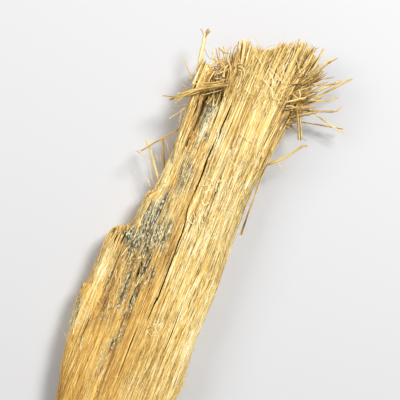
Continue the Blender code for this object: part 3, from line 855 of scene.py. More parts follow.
def spray(name, count, seed, roots, headings, lengths, half, tone, curl):
    """Loose fibres that start in a box of roots and point within a range of headings from +Y to +X."""
    rng = np.random.default_rng(seed)
    root = xyz(*[rng.uniform(low, high, count) for low, high in roots])
    heading = np.radians(rng.uniform(*headings, count))
    way = xyz(np.sin(heading), np.cos(heading), rng.normal(0.0, 0.2, count))
    turn = xyz(np.cos(heading), -np.sin(heading), rng.normal(0, 0.5, count))
    size = rng.uniform(*lengths, count)[:, None, None]
    t = np.linspace(0, 1, 6)[:, None]
    bow = rng.normal(0.0, curl, (count, 1, 1)) * size
    paths = root[:, None] + way[:, None] * size * t + turn[:, None] * bow * t ** 2
    thick = mostly_thin(rng, half, count)[:, None]
    shrink = 1.0 - rng.uniform(0.2, 0.6, (count, 1)) * t[:, 0]
    strands(name, paths, thick * shrink, 0.8, tone + rng.normal(0.0, 0.14, count), seed)


def end_stubs(name, end, way, count, seed, tone=0.6, longer=1.0):
    """Fibres that stick out of a body's broken end, longer and shorter in bunches."""
    rng = np.random.default_rng(seed)
    steps, columns = end.shape[:2]
    ring = np.rint((steps - 1) * (1.0 - np.sqrt(rng.random(count)))).astype(int)
    root = end[ring, rng.integers(0, columns, count)]
    bunch = splinters(root[:, 0], root[:, 2], 1.3, 1.6, 47)[0]
    size = longer * (0.15 + 1.3 * bunch ** 2 + 0.9 * rng.random(count) ** 2)
    aim = xyz(rng.normal(0.0, 0.07, count), way, rng.normal(0.0, 0.07, count))
    t = np.linspace(-0.6, 1.0, 3)[:, None]
    paths = root[:, None] + aim[:, None] * size[:, None, None] * t
    half = mostly_thin(rng, (0.05, 0.2), count)[:, None] * np.array([1.0, 1.0, 0.8])
    strands(name, paths, half, 0.8, tone + rng.normal(0.0, 0.15, count), seed, sides=4)


# name, count, seed, half widths, tone, and for the top's straws lengths, stray and flatness
brush_core("brush_core", 900, 11, (0.07, 0.22), 0.6)
brush_face("brush_laths", 180, 12, (0.14, 0.36), 0.69, (4.0, 18.0), 0.15, 0.35)
brush_face("brush_straws", 340, 13, (0.06, 0.16), 0.74, (3.0, 16.0), 0.35, 0.7)
brush_face("brush_hairs", 420, 14, (0.03, 0.07), 0.72, (1.5, 10.0), 0.8, 0.8)
# name, count, seed, roots in x, y and z, headings, lengths, half widths, tone, curl
spray("flank_straws", 130, 26, [(-2.3, -1.4), (24, 30.5), (2, 7.9)], (-14, 8), (1.5, 4), (0.06, 0.2),
      0.64, 0.04)
spray("fork_stubs", 260, 28, [(-5, -3.3), (15.4, 16.6), (0.5, 6.5)], (-10, 8), (1, 2.4), (0.06, 0.18),
      0.5, 0.04)
spray("hollow_stubs", 200, 25, [(-5.8, -1.5), (22.9, 24.2), (3.2, 6.6)], (-16, 18), (1, 3),
      (0.06, 0.18), 0.4, 0.05)
end_stubs("end_stubs", slab_end, -1, 1000, 27)
end_stubs("far_stubs", slab_far_end, 1, 260, 41, 0.5)
end_stubs("sliver_stubs", sliver_end, 1, 260, 42, 0.56, 0.6)
end_stubs("brush_stubs", brush_end, 1, 900, 43, 0.52)
spray("right_fan", 150, 21, [(7, 8.8), (25.5, 31.5), (2.5, 7.8)], (12, 62), (1.8, 5.4), (0.06, 0.16),
      0.39, 0.03)
spray("right_fringe", 80, 22, [(7.7, 8.6), (24, 28), (3, 7)], (40, 110), (0.8, 2.6), (0.03, 0.07),
      0.44, 0.15)
spray("left_tangle", 130, 23, [(-4.4, -1.6), (25.6, 30), (2.5, 7.4)], (-100, 70), (0.8, 2.8),
      (0.05, 0.14), 0.55, 0.1)
spray("corner_straws", 70, 47, [(5.6, 8), (31.6, 33), (5, 7.6)], (-5, 9), (3, 4.6), (0.05, 0.16),
      0.66, 0.02)
spray("crossing_hairs", 110, 24, [(-0.8, 7.6), (24.5, 31.5), (7.7, 8.3)], (-50, 50), (0.5, 2.4),
      (0.03, 0.06), 0.72, 0.08)


# Loose fibres placed one by one --------------------------------------------------------
def smooth_steps(points, steps):
    """Evenly numbered points on a Catmull-Rom curve through the given points."""
    p = np.array(points, float)
    p = np.vstack([2 * p[0] - p[1], p, 2 * p[-1] - p[-2]])
    at = np.linspace(0, len(points) - 1, steps)
    k = np.minimum(np.floor(at).astype(int), len(points) - 2)
    t = (at - k)[:, None]
    a, b, c, d = p[k], p[k + 1], p[k + 2], p[k + 3]
    curved = (2 * a - 5 * b + 4 * c - d) * t ** 2 + (3 * b - a - 3 * c + d) * t ** 3
    return 0.5 * (2 * b + (c - a) * t + curved)


def loose(name, fibres, lift=0.06):
    """Thin fibres given as (half width, tone, points). Points without a height lie on the specimen."""
    steps = 9
    paths, half = [], []
    for thick, _, points in fibres:
        if len(points[0]) == 2:
            flat = np.array(points, float)
            points = np.column_stack([flat, top_height(flat[:, 0], flat[:, 1]) + lift + thick])
        paths.append(smooth_steps(points, steps))
        half.append(np.linspace(1.0, 0.7, steps) * thick)
    tones = np.array([tone for _, tone, _ in fibres])
    strands(name, np.array(paths), np.array(half), 0.85, tones, len(fibres))


loose("left_whiskers", [
    (0.09, 0.6, [(-9.7, 27.95, 6.2), (-8.8, 27.1, 6), (-7.9, 26.2, 5.8), (-6.9, 25.2, 5.6)]),
    (0.07, 0.6, [(-8.6, 24.3, 6.6), (-8, 24.25, 6.7), (-7.4, 24.2, 6.8), (-6.6, 24.3, 6.8)]),
    (0.06, 0.55, [(-8.1, 23.6, 6.6), (-7.6, 23.9, 6.7), (-7.1, 24, 6.8)]),
    (0.05, 0.65, [(-7.75, 25.1, 5.4), (-7.45, 25.6, 5.6), (-7, 25.9, 5.8)]),
    (0.05, 0.6, [(-7.8, 25.7, 5), (-7.5, 26.4, 5.2), (-7.1, 26.8, 5.5)]),
    (0.05, 0.5, [(-7.9, 26.3, 6.2), (-7.6, 26.9, 6.2), (-7.2, 27.4, 6)]),
    (0.1, 0.6, [(-6.7, 21.3, 6), (-7.5, 20.1, 6), (-8.4, 18.8, 6.1)]),
    (0.08, 0.55, [(-6.7, 21.9, 6.2), (-7.8, 21, 6.2), (-9, 20.4, 6.3)]),
    (0.08, 0.5, [(-7.2, 20.9, 6), (-6.85, 19.2, 5.9), (-6.6, 18.2, 5.8), (-6.3, 17, 5.6)]),
    (0.06, 0.5, [(-7.1, 19.6, 5.6), (-6.7, 19.4, 5.6), (-6.4, 19.4, 5.6)]),
    (0.07, 0.65, [(-8, 15.6, 4.4), (-7.4, 15.2, 4.5), (-7, 14.6, 4.6), (-6.4, 13.6, 4.6)]),
    (0.06, 0.7, [(-6.85, 17.1, 4.2), (-6.7, 16.3, 4.4), (-6.4, 15.3, 4.6)]),
    (0.05, 0.6, [(-7, 16.2, 3.6), (-6.8, 15.6, 3.8), (-6.5, 14.9, 4)]),
    (0.07, 0.7, [(-11.1, 12.4, 6), (-9.9, 12.2, 5.2), (-8.8, 11.6, 4.6), (-8.1, 10.2, 4.2), (-7.4, 9.1, 4)]),
    (0.06, 0.6, [(-8.5, 9.3, 3.4), (-8, 8.8, 3.5), (-7.4, 8.2, 3.6)]),
    (0.05, 0.6, [(-10.6, 12.7, 6.3), (-11.1, 12.5, 6.3), (-11.4, 12.2, 6.2)]),
    (0.04, 0.6, [(-8.6, 13.2, 4.4), (-7.9, 12.5, 4.4), (-7.5, 12.3, 4.4)]),
    (0.04, 0.55, [(-7.9, 13.6, 3.6), (-7.4, 12.6, 3.6), (-6.7, 12, 3.6)])])
loose("sliver_tips", [
    (0.22, 0.75, [(-6.9, 25, 6.8), (-6.85, 26.6, 6.9), (-6.8, 28.3, 6.9)]),
    (0.2, 0.65, [(-6.4, 25.6, 6.9), (-6.3, 27, 7), (-6.2, 28.6, 7)]),
    (0.24, 0.8, [(-5.9, 24.8, 7), (-5.8, 26.4, 7.05), (-5.65, 28.1, 7.1)]),
    (0.18, 0.6, [(-5.4, 25.4, 6.9), (-5.3, 27, 6.9), (-5.05, 28.5, 6.9)]),
    (0.16, 0.7, [(-5.1, 25, 6.6), (-4.9, 26.6, 6.7), (-4.6, 28, 6.7)]),
    (0.12, 0.6, [(-6.6, 26.2, 6.4), (-6.6, 27.4, 6.4), (-6.5, 28.8, 6.3)]),
    (0.14, 0.55, [(-5.7, 26.4, 5.4), (-5.6, 27.6, 5.4), (-5.5, 28.9, 5.3)]),
    (0.14, 0.5, [(-6.9, 26, 4.4), (-6.9, 27.4, 4.3), (-7, 28.7, 4.2)]),
    (0.16, 0.5, [(-6, 26, 3.2), (-6, 27.4, 3.1), (-6, 28.9, 3)]),
    (0.14, 0.5, [(-5.2, 26, 3.6), (-5.1, 27.4, 3.5), (-5, 28.6, 3.4)]),
    (0.16, 0.5, [(-6.6, 26, 1.6), (-6.6, 27.4, 1.5), (-6.6, 28.8, 1.4)]),
    (0.08, 0.7, [(-6.2, 25.6, 7.1), (-5.7, 26.6, 7.3), (-5.1, 27.6, 7.4)]),
    (0.07, 0.75, [(-5.1, 24.9, 7.1), (-5.6, 26.2, 7.3), (-5.8, 27.4, 7.4)])])
loose("left_twigs", [
    (0.17, 0.55, [(-5.45, 31.6, 5.8), (-4.9, 31.4, 5.8), (-4.35, 31.25, 5.8), (-3.45, 31.4, 5.9)]),
    (0.13, 0.5, [(-4.75, 32.1, 5.6), (-4.4, 31.5, 5.7), (-4.3, 30.9, 5.6), (-3.9, 30.3, 5.5)]),
    (0.1, 0.5, [(-3.75, 32.5, 5.9), (-3.65, 32.1, 5.9), (-3.4, 31.6, 5.9), (-3, 31, 5.9)]),
    (0.08, 0.5, [(-5.35, 30.25, 5.2), (-4.7, 30.2, 5.3), (-3.9, 29.95, 5.5), (-3.2, 29.4, 5.7)]),
    (0.1, 0.6, [(-5.3, 29.05, 5.6), (-4.4, 29.5, 5.8), (-3.5, 30.3, 6), (-3.2, 31, 6)]),
    (0.14, 0.6, [(-5.7, 27.95, 6.2), (-5, 28.6, 6.2), (-4.2, 29, 6.2), (-3, 29.1, 6.3)]),
    (0.12, 0.55, [(-4.6, 28, 5), (-4.3, 28.8, 5.2), (-4.4, 29.6, 5.4), (-4, 30.6, 5.5)]),
    (0.1, 0.5, [(-3.9, 27, 6), (-4.1, 28, 6.2), (-3.6, 29.2, 6.3), (-3.8, 30.2, 6.3)]),
    (0.1, 0.65, [(-3, 27.6, 7.2), (-3.3, 28.8, 7.2), (-3, 29.8, 7), (-3.3, 30.6, 6.8)]),
    (0.12, 0.6, [(-2.2, 28.2, 7.6), (-2.6, 29.4, 7.4), (-3.3, 30.2, 7), (-3.6, 31.2, 6.6)]),
    (0.09, 0.5, [(-2.6, 30.4, 6.8), (-3, 31.4, 6.6), (-3.1, 32.4, 6.4), (-2.9, 33, 6.3)]),
    (0.33, 0.86, [(-1.05, 29.2, 6.8), (-1.4, 31.2, 7.5), (-1.8, 33, 7.9), (-1.95, 34.05, 8)]),
    (0.2, 0.8, [(-1.7, 29.8, 6.8), (-2.1, 31.8, 7.3), (-2.5, 33.1, 7.4)]),
    (0.16, 0.8, [(-0.6, 30.4, 7.2), (-0.85, 32.2, 7.7), (-1.05, 33.5, 7.9)]),
    (0.04, 0.6, [(-1.9, 34, 8), (-1.2, 34.65, 8), (-0.6, 34.5, 7.9), (0.3, 33.9, 7.7)]),
    (0.04, 0.6, [(1.4, 34, 7.6), (2.1, 34.7, 7.8), (2.8, 35.2, 7.8), (3.3, 36, 7.8)])])
loose("right_whiskers", [
    (0.07, 0.5, [(8.2, 24.9, 4.6), (9.1, 24.85, 4.6), (9.8, 24.6, 4.6)]),
    (0.07, 0.6, [(7.9, 24.6, 5.4), (9, 24.25, 5.4), (10.4, 23.75, 5.4)]),
    (0.07, 0.6, [(8.1, 23.6, 4), (8.7, 22.6, 4), (9.8, 21.4, 4)]),
    (0.06, 0.5, [(11.4, 23.55, 5.6), (11.8, 23.4, 5.6), (12.3, 23.4, 5.6)]),
    (0.14, 0.5, [(9.1, 26.2, 5.6), (8.65, 23.2, 5.4), (8.2, 20.4, 5.2), (7.9, 17.8, 5)]),
    (0.12, 0.6, [(8.8, 26.6, 6.2), (8.35, 23.8, 6), (8, 21, 5.8), (7.75, 18.6, 5.6)]),
    (0.06, 0.6, [(9.4, 19.1, 5.5), (9.9, 19.7, 5.5), (10.4, 19.9, 5.6)]),
    (0.09, 0.6, [(8.9, 31, 5), (9.8, 32.4, 5), (10.9, 34, 5)]),
    (0.08, 0.55, [(9.6, 31.4, 4.4), (10.6, 32.4, 4.4), (11.7, 33.6, 4.4)]),
    (0.1, 0.6, [(8.7, 31.6, 5.6), (9.4, 33.2, 5.6), (10.1, 35, 5.6)]),
    (0.09, 0.55, [(8.9, 27.4, 6), (10.2, 28.6, 6), (11.6, 29.3, 6)]),
    (0.08, 0.5, [(8.8, 26.4, 5), (10.4, 27.3, 5), (11.8, 28.3, 5)]),
    (0.07, 0.5, [(8.6, 26, 4), (10.2, 26.8, 4), (11.4, 27.3, 4)]),
    (0.17, 0.75, [(7, 27.4, 8.1), (7.9, 27.9, 8.3), (8.8, 28.6, 8.2), (9.6, 29.1, 7.9)]),
    (0.1, 0.7, [(7.6, 28.9, 8.2), (8.4, 28.6, 8.3), (9.3, 28.7, 8.1)]),
    (0.12, 0.6, [(7.3, 26.8, 8.1), (8, 27.2, 8), (8.9, 27.2, 7.6)]),
    (0.1, 0.65, [(8.2, 29.9, 8), (8.7, 29.2, 8.1), (8.8, 28.2, 7.9)])])
loose("surface_hairs", [
    (0.07, 0.85, [(0.9, 10.5), (1.2, 10.9), (1.8, 11.4)]),
    (0.05, 0.8, [(2.5, 9.3), (2.8, 9.8), (3.2, 9.6), (3, 9.1)]), (0.05, 0.75, [(1.9, 12.4), (2.3, 12.6)]),
    (0.05, 0.8, [(0.4, 17.7), (0.8, 17.9), (1.2, 17.8)]),
    (0.05, 0.8, [(2.3, 16.4), (3.2, 15.9), (4.1, 15.8)]),
    (0.05, 0.8, [(3.6, 26.6), (4.6, 25.7), (5.4, 24.6)]),
    (0.07, 0.85, [(2.5, 20.55, 7.9), (3.5, 20.25, 8), (4.6, 20.1, 7.9)]),
    (0.05, 0.8, [(-0.3, 22.2), (0.2, 21.6), (0.9, 21.5)]),
    (0.05, 0.8, [(0.2, -11.7), (0.7, -11.2), (1.2, -11.4), (1.3, -12)]),
    (0.05, 0.8, [(0.5, -12.3), (1.1, -12.6), (1.6, -12.5)]),
    (0.05, 0.8, [(1.4, -10.6), (1.9, -11.4), (2.4, -11.5)]),
    (0.05, 0.85, [(-9.9, -11.3), (-9.4, -11.6), (-8.8, -12)]), (0.05, 0.85, [(-9.2, -11.2), (-9.4, -11.9)]),
    (0.05, 0.85, [(-8.5, -16.4), (-8.3, -17.2), (-7.9, -18.1)]),
    (0.04, 0.85, [(-1.9, -20.5), (-1.5, -20.2), (-1, -20.1)]),
    (0.04, 0.85, [(0.3, -19.3), (0.8, -19.2), (1.1, -18.8)]),
    (0.05, 0.8, [(6.2, -1.5), (6.9, -1), (7.4, -1.3)]),
    (0.05, 0.8, [(-4.6, 15.6), (-4, 15.2), (-3.4, 15.4)])])
loose("brush_crossings", [
    (0.07, 0.85, [(2.4, 29.5, 8), (3.8, 28.7, 8.1), (5.2, 27.8, 8.1), (6.4, 26.9, 8)]),
    (0.07, 0.8, [(3, 31.3, 8), (4.2, 30.7, 8.1), (5.7, 29.9, 8)]),
    (0.06, 0.85, [(3.1, 30.6, 8), (4, 29.9, 8.1), (5.1, 28.9, 8)]),
    (0.06, 0.75, [(3.5, 31.5, 8), (3.3, 30.6, 8.1), (3.5, 29.6, 8)]),
    (0.06, 0.8, [(4.5, 31, 8), (4.2, 30, 8.1), (4.4, 29, 8)]),
    (0.12, 0.68, [(-1.6, 30.1, 7.8), (-0.8, 30.2, 8), (-0.1, 29.6, 8), (0.1, 28.4, 7.8)]),
    (0.1, 0.74, [(-1.5, 29.8, 7.8), (-0.8, 29.8, 8), (-0.3, 29.2, 8), (-0.2, 28, 7.8)]),
    (0.09, 0.62, [(-1.4, 29.4, 7.8), (-0.9, 29.4, 7.9), (-0.6, 28.8, 7.9), (-0.6, 27.8, 7.7)]),
    (0.06, 0.6, [(6.1, 34, 7.9), (6.7, 33.4, 8), (7.5, 32.3, 8)]),
    (0.06, 0.8, [(0.4, 32.2, 8), (1.3, 31.7, 8.1), (1.9, 30.8, 8)]),
    (0.05, 0.8, [(1.2, 33, 7.9), (0.7, 32, 8), (0.6, 31, 8)]),
    (0.05, 0.8, [(2.6, 33.6, 8), (3.3, 32.9, 8.1), (4.3, 32.6, 8)]),
    (0.05, 0.75, [(5.3, 33, 8), (4.8, 32.2, 8.1), (4.9, 31.3, 8)]),
    (0.05, 0.8, [(5.6, 28.6, 8), (6.3, 28.2, 8.1), (7.2, 28.3, 8)]),
    (0.05, 0.8, [(0.5, 27.3, 8), (1.3, 26.8, 8), (2.2, 26.7, 8)]),
    (0.05, 0.75, [(2.7, 27, 8), (2.4, 26.1, 8), (2.7, 25.2, 7.9)])])
loose("broad_laths", [
    (0.21, 0.64, [(-1.35, 18.3), (-1.3, 21.5), (-1.2, 24.5), (-1.05, 27.2)]),
    (0.19, 0.7, [(-1, 17.4), (-0.98, 21), (-0.92, 24.5), (-0.8, 27)]),
    (0.14, 0.6, [(-1.65, 19.3), (-1.6, 22), (-1.5, 25), (-1.4, 26.6)]),
    (0.1, 0.55, [(-1.2, 17), (-1.2, 18), (-1.15, 19), (-1.1, 20)]),
    (0.3, 0.72, [(6.1, 13), (6.3, 17), (6.5, 21), (6.5, 24.6)]),
    (0.26, 0.7, [(0.4, 3.8), (0.45, 0), (0.35, -5), (0.25, -9)]),
    (0.25, 0.72, [(7.3, -2), (7.35, -6), (7.4, -9), (7.4, -12.6)])], -0.42)


# Short bits on the top and along the edges ---------------------------------------------
def debris(name, count, seed, xs, ys, stray, lengths, half, tone, lift=(0.0, 0.0)):
    """Short bits of fibre that lie on the top at odd angles, most of them nearly along the grain."""
    rng = np.random.default_rng(seed)
    x, y = rng.uniform(*xs, count), rng.uniform(*ys, count)
    heading = np.radians(rng.normal(0.0, stray, count))[:, None]
    size = rng.uniform(*lengths, count)[:, None]
    t = np.linspace(-0.5, 0.5, 4)
    bow = rng.normal(0.0, 0.12, (count, 1)) * (t ** 2)
    px = x[:, None] + size * (np.sin(heading) * t + np.cos(heading) * bow)
    py = y[:, None] + size * (np.cos(heading) * t - np.sin(heading) * bow)
    pz = top_height(px, py)
    keep = pz.min(axis=1) > TOP_LEVEL
    px, py, pz = px[keep], py[keep], pz[keep]
    count = len(px)
    width = np.repeat(rng.uniform(*half, count)[:, None], len(t), axis=1)
    pz = np.linspace(pz[:, 0], pz[:, -1], len(t), axis=1) + rng.uniform(0.02, 0.12, (count, 1))
    pz += np.interp(py[:, :1], ys, lift) * rng.uniform(0.3, 1.0, (count, 1))
    tones = tone + rng.normal(0, 0.13, count)
    strands(name, xyz(px, py, pz), width, 0.5, tones, seed, sides=4)


def edge_fuzz(name, edge, outward, count, seed):
    """Fibres that peel off the slab's edge."""
    rng = np.random.default_rng(seed)
    y = rng.uniform(edge[0][1], edge[-1][1], count)
    root = xyz(x_of(edge, y) - outward * 0.25, y, rng.uniform(1.5, 5.5, count))
    size = (0.3 + 1.5 * rng.random(count) ** 3)[:, None, None]
    way = xyz(outward * rng.uniform(0.15, 0.8, count), rng.choice([-1.0, 1.0], count),
              rng.normal(0.0, 0.25, count))[:, None]
    t = np.linspace(0, 1, 5)[:, None]
    turn = np.array([outward, 0.0, 0.0]) * rng.normal(0.1, 0.25, (count, 1, 1))
    paths = root[:, None] + size * (way * t + turn * t ** 2)
    thick = rng.uniform(0.02, 0.05, (count, 1)) * np.linspace(1.0, 0.6, 5)
    strands(name, paths, thick, 1.0, 0.7 + rng.normal(0, 0.1, count), seed, sides=4)


def broken_step(name, edge, count, seed, reach):
    """Blunt ends of fibres along a step of the left edge, where the ones above them have broken off."""
    rng = np.random.default_rng(seed)
    x = rng.uniform(edge[0][0], edge[-1][0], count)
    y = along(edge, x) + rng.uniform(-0.35, 0.4, count)
    z = 1.2 + rng.random(count) * (top_height(x + 0.3, y - 1.0) - 1.3)
    t = np.linspace(0, 1, 4)
    sunk = (1 - t) ** 2
    paths = xyz(x[:, None] + rng.normal(0.0, 0.05, (count, 1)) * t + 0.5 * sunk, y[:, None] - reach * (1 - t),
                z[:, None] * (1.0 - 0.1 * sunk))
    half = rng.uniform(0.07, 0.24, (count, 1)) * np.linspace(1.0, 0.85, 4)
    strands(name, paths, half, 0.8, 0.62 + rng.normal(0, 0.12, count), seed)


broken_step("shoulder_ends", [(-10.35, -0.1), (-9.8, 0.45), (-8.9, 0.8), (-8.1, 1.7)], 260, 36, 1.6)
broken_step("lower_step_ends", [(-11.5, -9.6), (-11.0, -9.3)], 40, 37, 1.0)
broken_step("nick_ends", [(-7.5, 7.0), (-6.95, 7.6)], 40, 38, 1.1)
# name, count, seed, range in x and y, stray in degrees, lengths, half widths, tone, lift
debris("slab_debris", 300, 31, (-11, 8), (-30.5, 27), 20, (0.25, 1.8), (0.02, 0.05), 0.74)
debris("slab_flakes", 90, 34, (-1.5, 7.6), (3, 26), 9, (0.6, 2.4), (0.04, 0.1), 0.74)
debris("left_flakes", 130, 39, (-10.8, -1.5), (-29, -2), 11, (0.5, 2.2), (0.03, 0.09), 0.74)
debris("curled_flakes", 60, 44, (0.2, 2.2), (5, 14), 30, (0.3, 1.1), (0.04, 0.1), 0.82, (0.1, 0.1))
debris("step_flakes", 30, 45, (0.2, 2), (-12.6, -9.8), 35, (0.3, 1.2), (0.03, 0.08), 0.82)
debris("margin_flakes", 24, 46, (-10.2, -7.6), (-18.5, -10.5), 30, (0.4, 1.6), (0.03, 0.07), 0.84)
debris("brush_flakes", 210, 35, (-1.5, 7.9), (24, 33.5), 13, (0.6, 2.8), (0.04, 0.14), 0.66,
       (0.05, 1))
edge_fuzz("left_fuzz", LEFT_EDGE, -1.0, 170, 32)
edge_fuzz("right_fuzz", RIGHT_EDGE, 1.0, 190, 33)


# Needles -------------------------------------------------------------------------------
def bundle(path, count, seed, spread, half, tone):
    """Fibres that run side by side along a path, each over a stretch of its own."""
    rng = np.random.default_rng(seed)
    line = smooth_steps(path, 40)
    fibres = []
    for _ in range(count):
        start, end = rng.uniform(0, 22), rng.uniform(24, 39)
        at = np.linspace(start, end, 4).astype(int)
        aside = rng.normal(0.0, 1.0, 3) * spread + rng.normal(0.0, 0.25, (4, 3)) * spread
        thick = mostly_thin(rng, half, None)
        fibres.append((thick, 0.8 * thick, tone + rng.normal(0.0, 0.13), line[at] + aside))
    return fibres


def needle(name, fibres):
    """One needle or bundle, in place of the CAD node of the same name."""
    steps = 12
    paths = np.array([smooth_steps(points, steps) for _, _, _, points in fibres])
    half = np.array([np.linspace(root, tip, steps) for root, tip, _, _ in fibres])
    tones = np.array([tone for _, _, tone, _ in fibres])
    strands(name + "_fibres", paths, half, 0.85, tones, len(name), sides=7, nodes=[name])


# Fibres of each needle: half width at the root, half width at the tip, tone, points (x, y, z)
NEEDLES = {
    "cross_bundle": [
        (0.13, 0.1, 0.62, [(-10.5, 21.6, 7.5), (-8.5, 22.2, 7.7), (-6.2, 24, 8.1), (-1.2, 27.1, 8)]),
        (0.12, 0.1, 0.45, [(-6.1, 24.5, 8.3), (-5.2, 25.2, 8.4), (-3.6, 25.9, 8.3), (-1.2, 27.4, 8)]),
        (0.16, 0.12, 0.68, [(-8.1, 21.7, 7.4), (-7.4, 22.9, 7.8), (-6, 24.4, 8.2), (-2.6, 26.7, 8.3)]),
        (0.16, 0.11, 0.8, [(-8.5, 22.7, 7.6), (-7.6, 23.2, 7.9), (-6.6, 24, 8.2), (-4, 25.4, 8.2)]),
        (0.12, 0.09, 0.6, [(-8.3, 21.3, 7.2), (-7.8, 22.2, 7.4), (-7, 23, 7.7), (-5.4, 24.2, 8)]),
        (0.1, 0.08, 0.7, [(-7.2, 24.6, 7.9), (-5.8, 25.4, 8.2), (-4, 26.2, 8.2), (-2, 27.6, 8)]),
        (0.09, 0.07, 0.4, [(-5, 23.9, 7.3), (-3.6, 24.9, 7.2), (-2.4, 25.8, 7.1), (-1.4, 26.2, 7.2)])],
    "tall_straw": [
        (0.35, 0.3, 0.9, [(-7, 26.6, 5.4), (-7.5, 29.8, 5.8), (-7.8, 31.5, 6.1), (-8.05, 33, 6.4)]),
        (0.15, 0.17, 0.5, [(-8, 31.9, 6.2), (-7.95, 32.8, 6.4), (-7.75, 33.6, 6.6)]),
        (0.12, 0.15, 0.45, [(-7.85, 32.2, 6.3), (-7.75, 32.8, 6.5), (-7.45, 33.35, 6.6)]),
        (0.1, 0.1, 0.5, [(-8, 32.1, 6.2), (-8.4, 32.8, 6.2), (-9, 33.3, 6.2)]),
        (0.05, 0.04, 0.4, [(-7.3, 30.7, 5.9), (-6.5, 29.9, 5.7), (-5.8, 29.6, 5.4)])],
    "short_straw": [
        (0.17, 0.17, 0.75, [(-5.4, 27.6, 4.6), (-5.6, 29.4, 4.8), (-5.75, 30.3, 5), (-6.15, 31, 5.2)])],
    "top_needle_1": [
        (0.22, 0.17, 0.6, [(8.9, 31.5, 4.6), (9.25, 34.3, 4.6), (9.45, 36, 4.7), (9.65, 37.6, 4.8)])],
    "top_needle_2": [
        (0.2, 0.14, 0.6, [(9.5, 31.6, 4.4), (10.2, 33.9, 4.5), (10.7, 35.4, 4.5), (11.2, 36.4, 4.6)]),
        (0.12, 0.14, 0.5, [(10.6, 35, 4.5), (11.3, 36, 4.6), (12.1, 37, 4.6)])],
    "ray_needle_1": [
        (0.22, 0.17, 0.62, [(9.6, 28.7, 5.1), (10.6, 30.3, 5.4), (12, 32, 5.9), (13.9, 33.8, 6.3)]),
        (0.14, 0.1, 0.6, [(9.9, 31.7, 5.9), (11, 31.9, 6.1), (12.2, 32.5, 6.3), (13.1, 33.1, 6.4)])],
    "ray_needle_2": [
        (0.19, 0.16, 0.52, [(9.9, 28.2, 4.3), (11.3, 30.1, 4.3), (13, 32.2, 4.2), (15.4, 34.9, 4.3)])],
    "ray_needle_3": [
        (0.15, 0.12, 0.5, [(8.9, 28.5, 6.3), (10.3, 29.2, 6.7), (12.5, 29.8, 7.2), (14.2, 31.1, 7.5)])],
    "crooked_needle": [
        (0.15, 0.14, 0.5, [(8.7, 27, 5.4), (10.8, 27.8, 5.4), (12.8, 28.4, 5.5), (14.4, 29, 5.6)]),
        (0.14, 0.09, 0.55, [(14.3, 28.95, 5.6), (14.8, 29.2, 5.6), (15, 29.5, 5.7), (15.3, 30.3, 5.7)])],
    "long_needle": [
        (0.17, 0.13, 0.72, [(8.9, 29, 3.5), (12, 28, 3.3), (15, 27.15, 3.2), (17.7, 26.75, 3.1)])],
    "low_needle": [
        (0.11, 0.1, 0.55, [(8.9, 25.6, 2.2), (11, 26.15, 2.2), (14, 26.8, 2.2), (17.1, 27.45, 2.2)])],
    "twin_needle_1": [
        (0.18, 0.17, 0.62, [(8.4, 28.8, 7.2), (9.3, 26.7, 6.9), (10.3, 24.7, 6.4), (11.05, 23.1, 5.9)])],
    "twin_needle_2": [
        (0.18, 0.17, 0.66, [(9, 28.3, 6.6), (9.8, 26.6, 6.2), (10.7, 24.8, 5.7), (11.45, 23.2, 5.2)])],
    "bent_needle": [
        (0.2, 0.16, 0.6, [(8, 17.7, 5.1), (9.5, 19.2, 5.5), (10.6, 20.4, 5.8), (11.5, 21.7, 6.2),
                          (11.85, 22.2, 6.4)]),
        (0.17, 0.14, 0.5, [(11.8, 22.2, 6.4), (12.2, 22.45, 6.4), (12.6, 22.6, 6.4)]),
        (0.1, 0.06, 0.55, [(9, 18.8, 5.4), (9.6, 18.6, 5.4), (9.9, 19.6, 5.5)]),
        (0.06, 0.05, 0.6, [(9.3, 19, 5.4), (10, 18.3, 5.2), (10.6, 17.9, 5)]),
        (0.05, 0.04, 0.6, [(10.4, 20.1, 5.7), (10.6, 19.2, 5.5), (10.6, 18, 5.3)])],
    "trailing_needle": [
        (0.12, 0.17, 0.56, [(8, 19.4, 4.2), (8, 15.5, 4.3), (8.05, 12, 4.4), (8.15, 8.5, 4.5),
                            (8.25, 6, 4.5)]),
        (0.08, 0.1, 0.5, [(7.95, 19, 4.6), (7.95, 15, 4.7), (8.05, 10, 4.8), (8.35, 6.4, 4.8)])],
    "left_needle_1": [
        (0.16, 0.14, 0.62, [(-6.4, 18, 5.2), (-7.4, 16.8, 5.5), (-9, 14.8, 5.9), (-10.6, 12.7, 6.3)])],
    "left_needle_2": [
        (0.25, 0.2, 0.85, [(-6.3, 9.2, 4), (-7.6, 10.9, 4.1), (-9, 12.8, 4.3), (-10.5, 14.7, 4.4)])],
    "left_needle_3": [
        (0.19, 0.18, 0.6, [(-6.4, 11.4, 2.6), (-7.2, 13.2, 2.8), (-8, 15, 2.9), (-8.5, 16, 3)])],
}
BUNDLE_PATH = [(-9.3, 21.4, 7.3), (-7.6, 22.8, 7.6), (-5.4, 24.7, 8.0), (-1.3, 27.2, 7.9)]
NEEDLES["cross_bundle"] += bundle(BUNDLE_PATH, 34, 51, (0.13, 0.14, 0.24), (0.035, 0.085), 0.47)
for needle_name, needle_fibres in NEEDLES.items():
    needle(needle_name, needle_fibres)


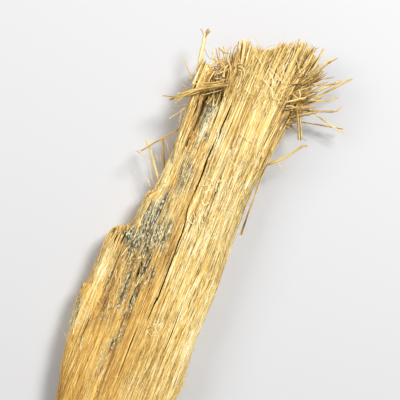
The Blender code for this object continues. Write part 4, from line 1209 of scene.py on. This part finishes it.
# Camera, light, floor ------------------------------------------------------------------
def add_to_scene(name, data):
    """New object with the given data."""
    item = bpy.data.objects.new(name, data)
    bpy.context.scene.collection.objects.link(item)
    return item


def make_camera():
    data = bpy.data.cameras.new("camera")
    data.lens = LENS
    data.sensor_width = SENSOR
    data.clip_start = 0.01
    camera = add_to_scene("camera", data)
    height = SLAB_TOP + VIEW_WIDTH * LENS / SENSOR
    camera.location = (VIEW_CENTRE[0] * MM, VIEW_CENTRE[1] * MM, height * MM)
    camera.rotation_euler = (0.0, 0.0, math.radians(VIEW_ROLL))
    bpy.context.scene.camera = camera


def make_light(name, place, size, power):
    """Square soft light, its place and size in mm, that looks at the middle of the picture."""
    data = bpy.data.lights.new(name, "AREA")
    data.size = size * MM
    data.energy = power
    light = add_to_scene(name, data)
    x, y, z = place
    light.location = (x * MM, y * MM, z * MM)
    aside, ahead = x - VIEW_CENTRE[0], y - VIEW_CENTRE[1]
    tilt, turn = math.atan2(math.hypot(aside, ahead), z), math.atan2(ahead, aside) + math.pi / 2
    light.rotation_euler = (tilt, 0.0, turn)


def make_floor():
    mesh = bpy.data.meshes.new("floor")
    corners = [(x * FLOOR_HALF, y * FLOOR_HALF, 0) for x, y in ((-1, -1), (1, -1), (1, 1), (-1, 1))]
    mesh.from_pydata(corners, [], [(0, 1, 2, 3)])
    grey = Shader("floor")
    grey.surface["Base Color"].default_value = (0.62, 0.62, 0.63, 1.0)
    grey.surface["Roughness"].default_value = 0.8
    mesh.materials.append(grey.material)
    floor = add_to_scene("floor", mesh)


def make_world():
    world = bpy.data.worlds.new("studio")
    world.use_nodes = True
    background = world.node_tree.nodes["Background"]
    background.inputs["Color"].default_value = (1.0, 1.0, 1.0, 1.0)
    background.inputs["Strength"].default_value = 0.3
    bpy.context.scene.world = world


make_camera()
make_light("key", (110.0, 240.0, 320.0), 110.0, 1.75)
make_light("fill", (-240.0, 40.0, 260.0), 200.0, 0.5)
make_floor()
make_world()
bpy.context.scene.view_settings.view_transform = "Standard"
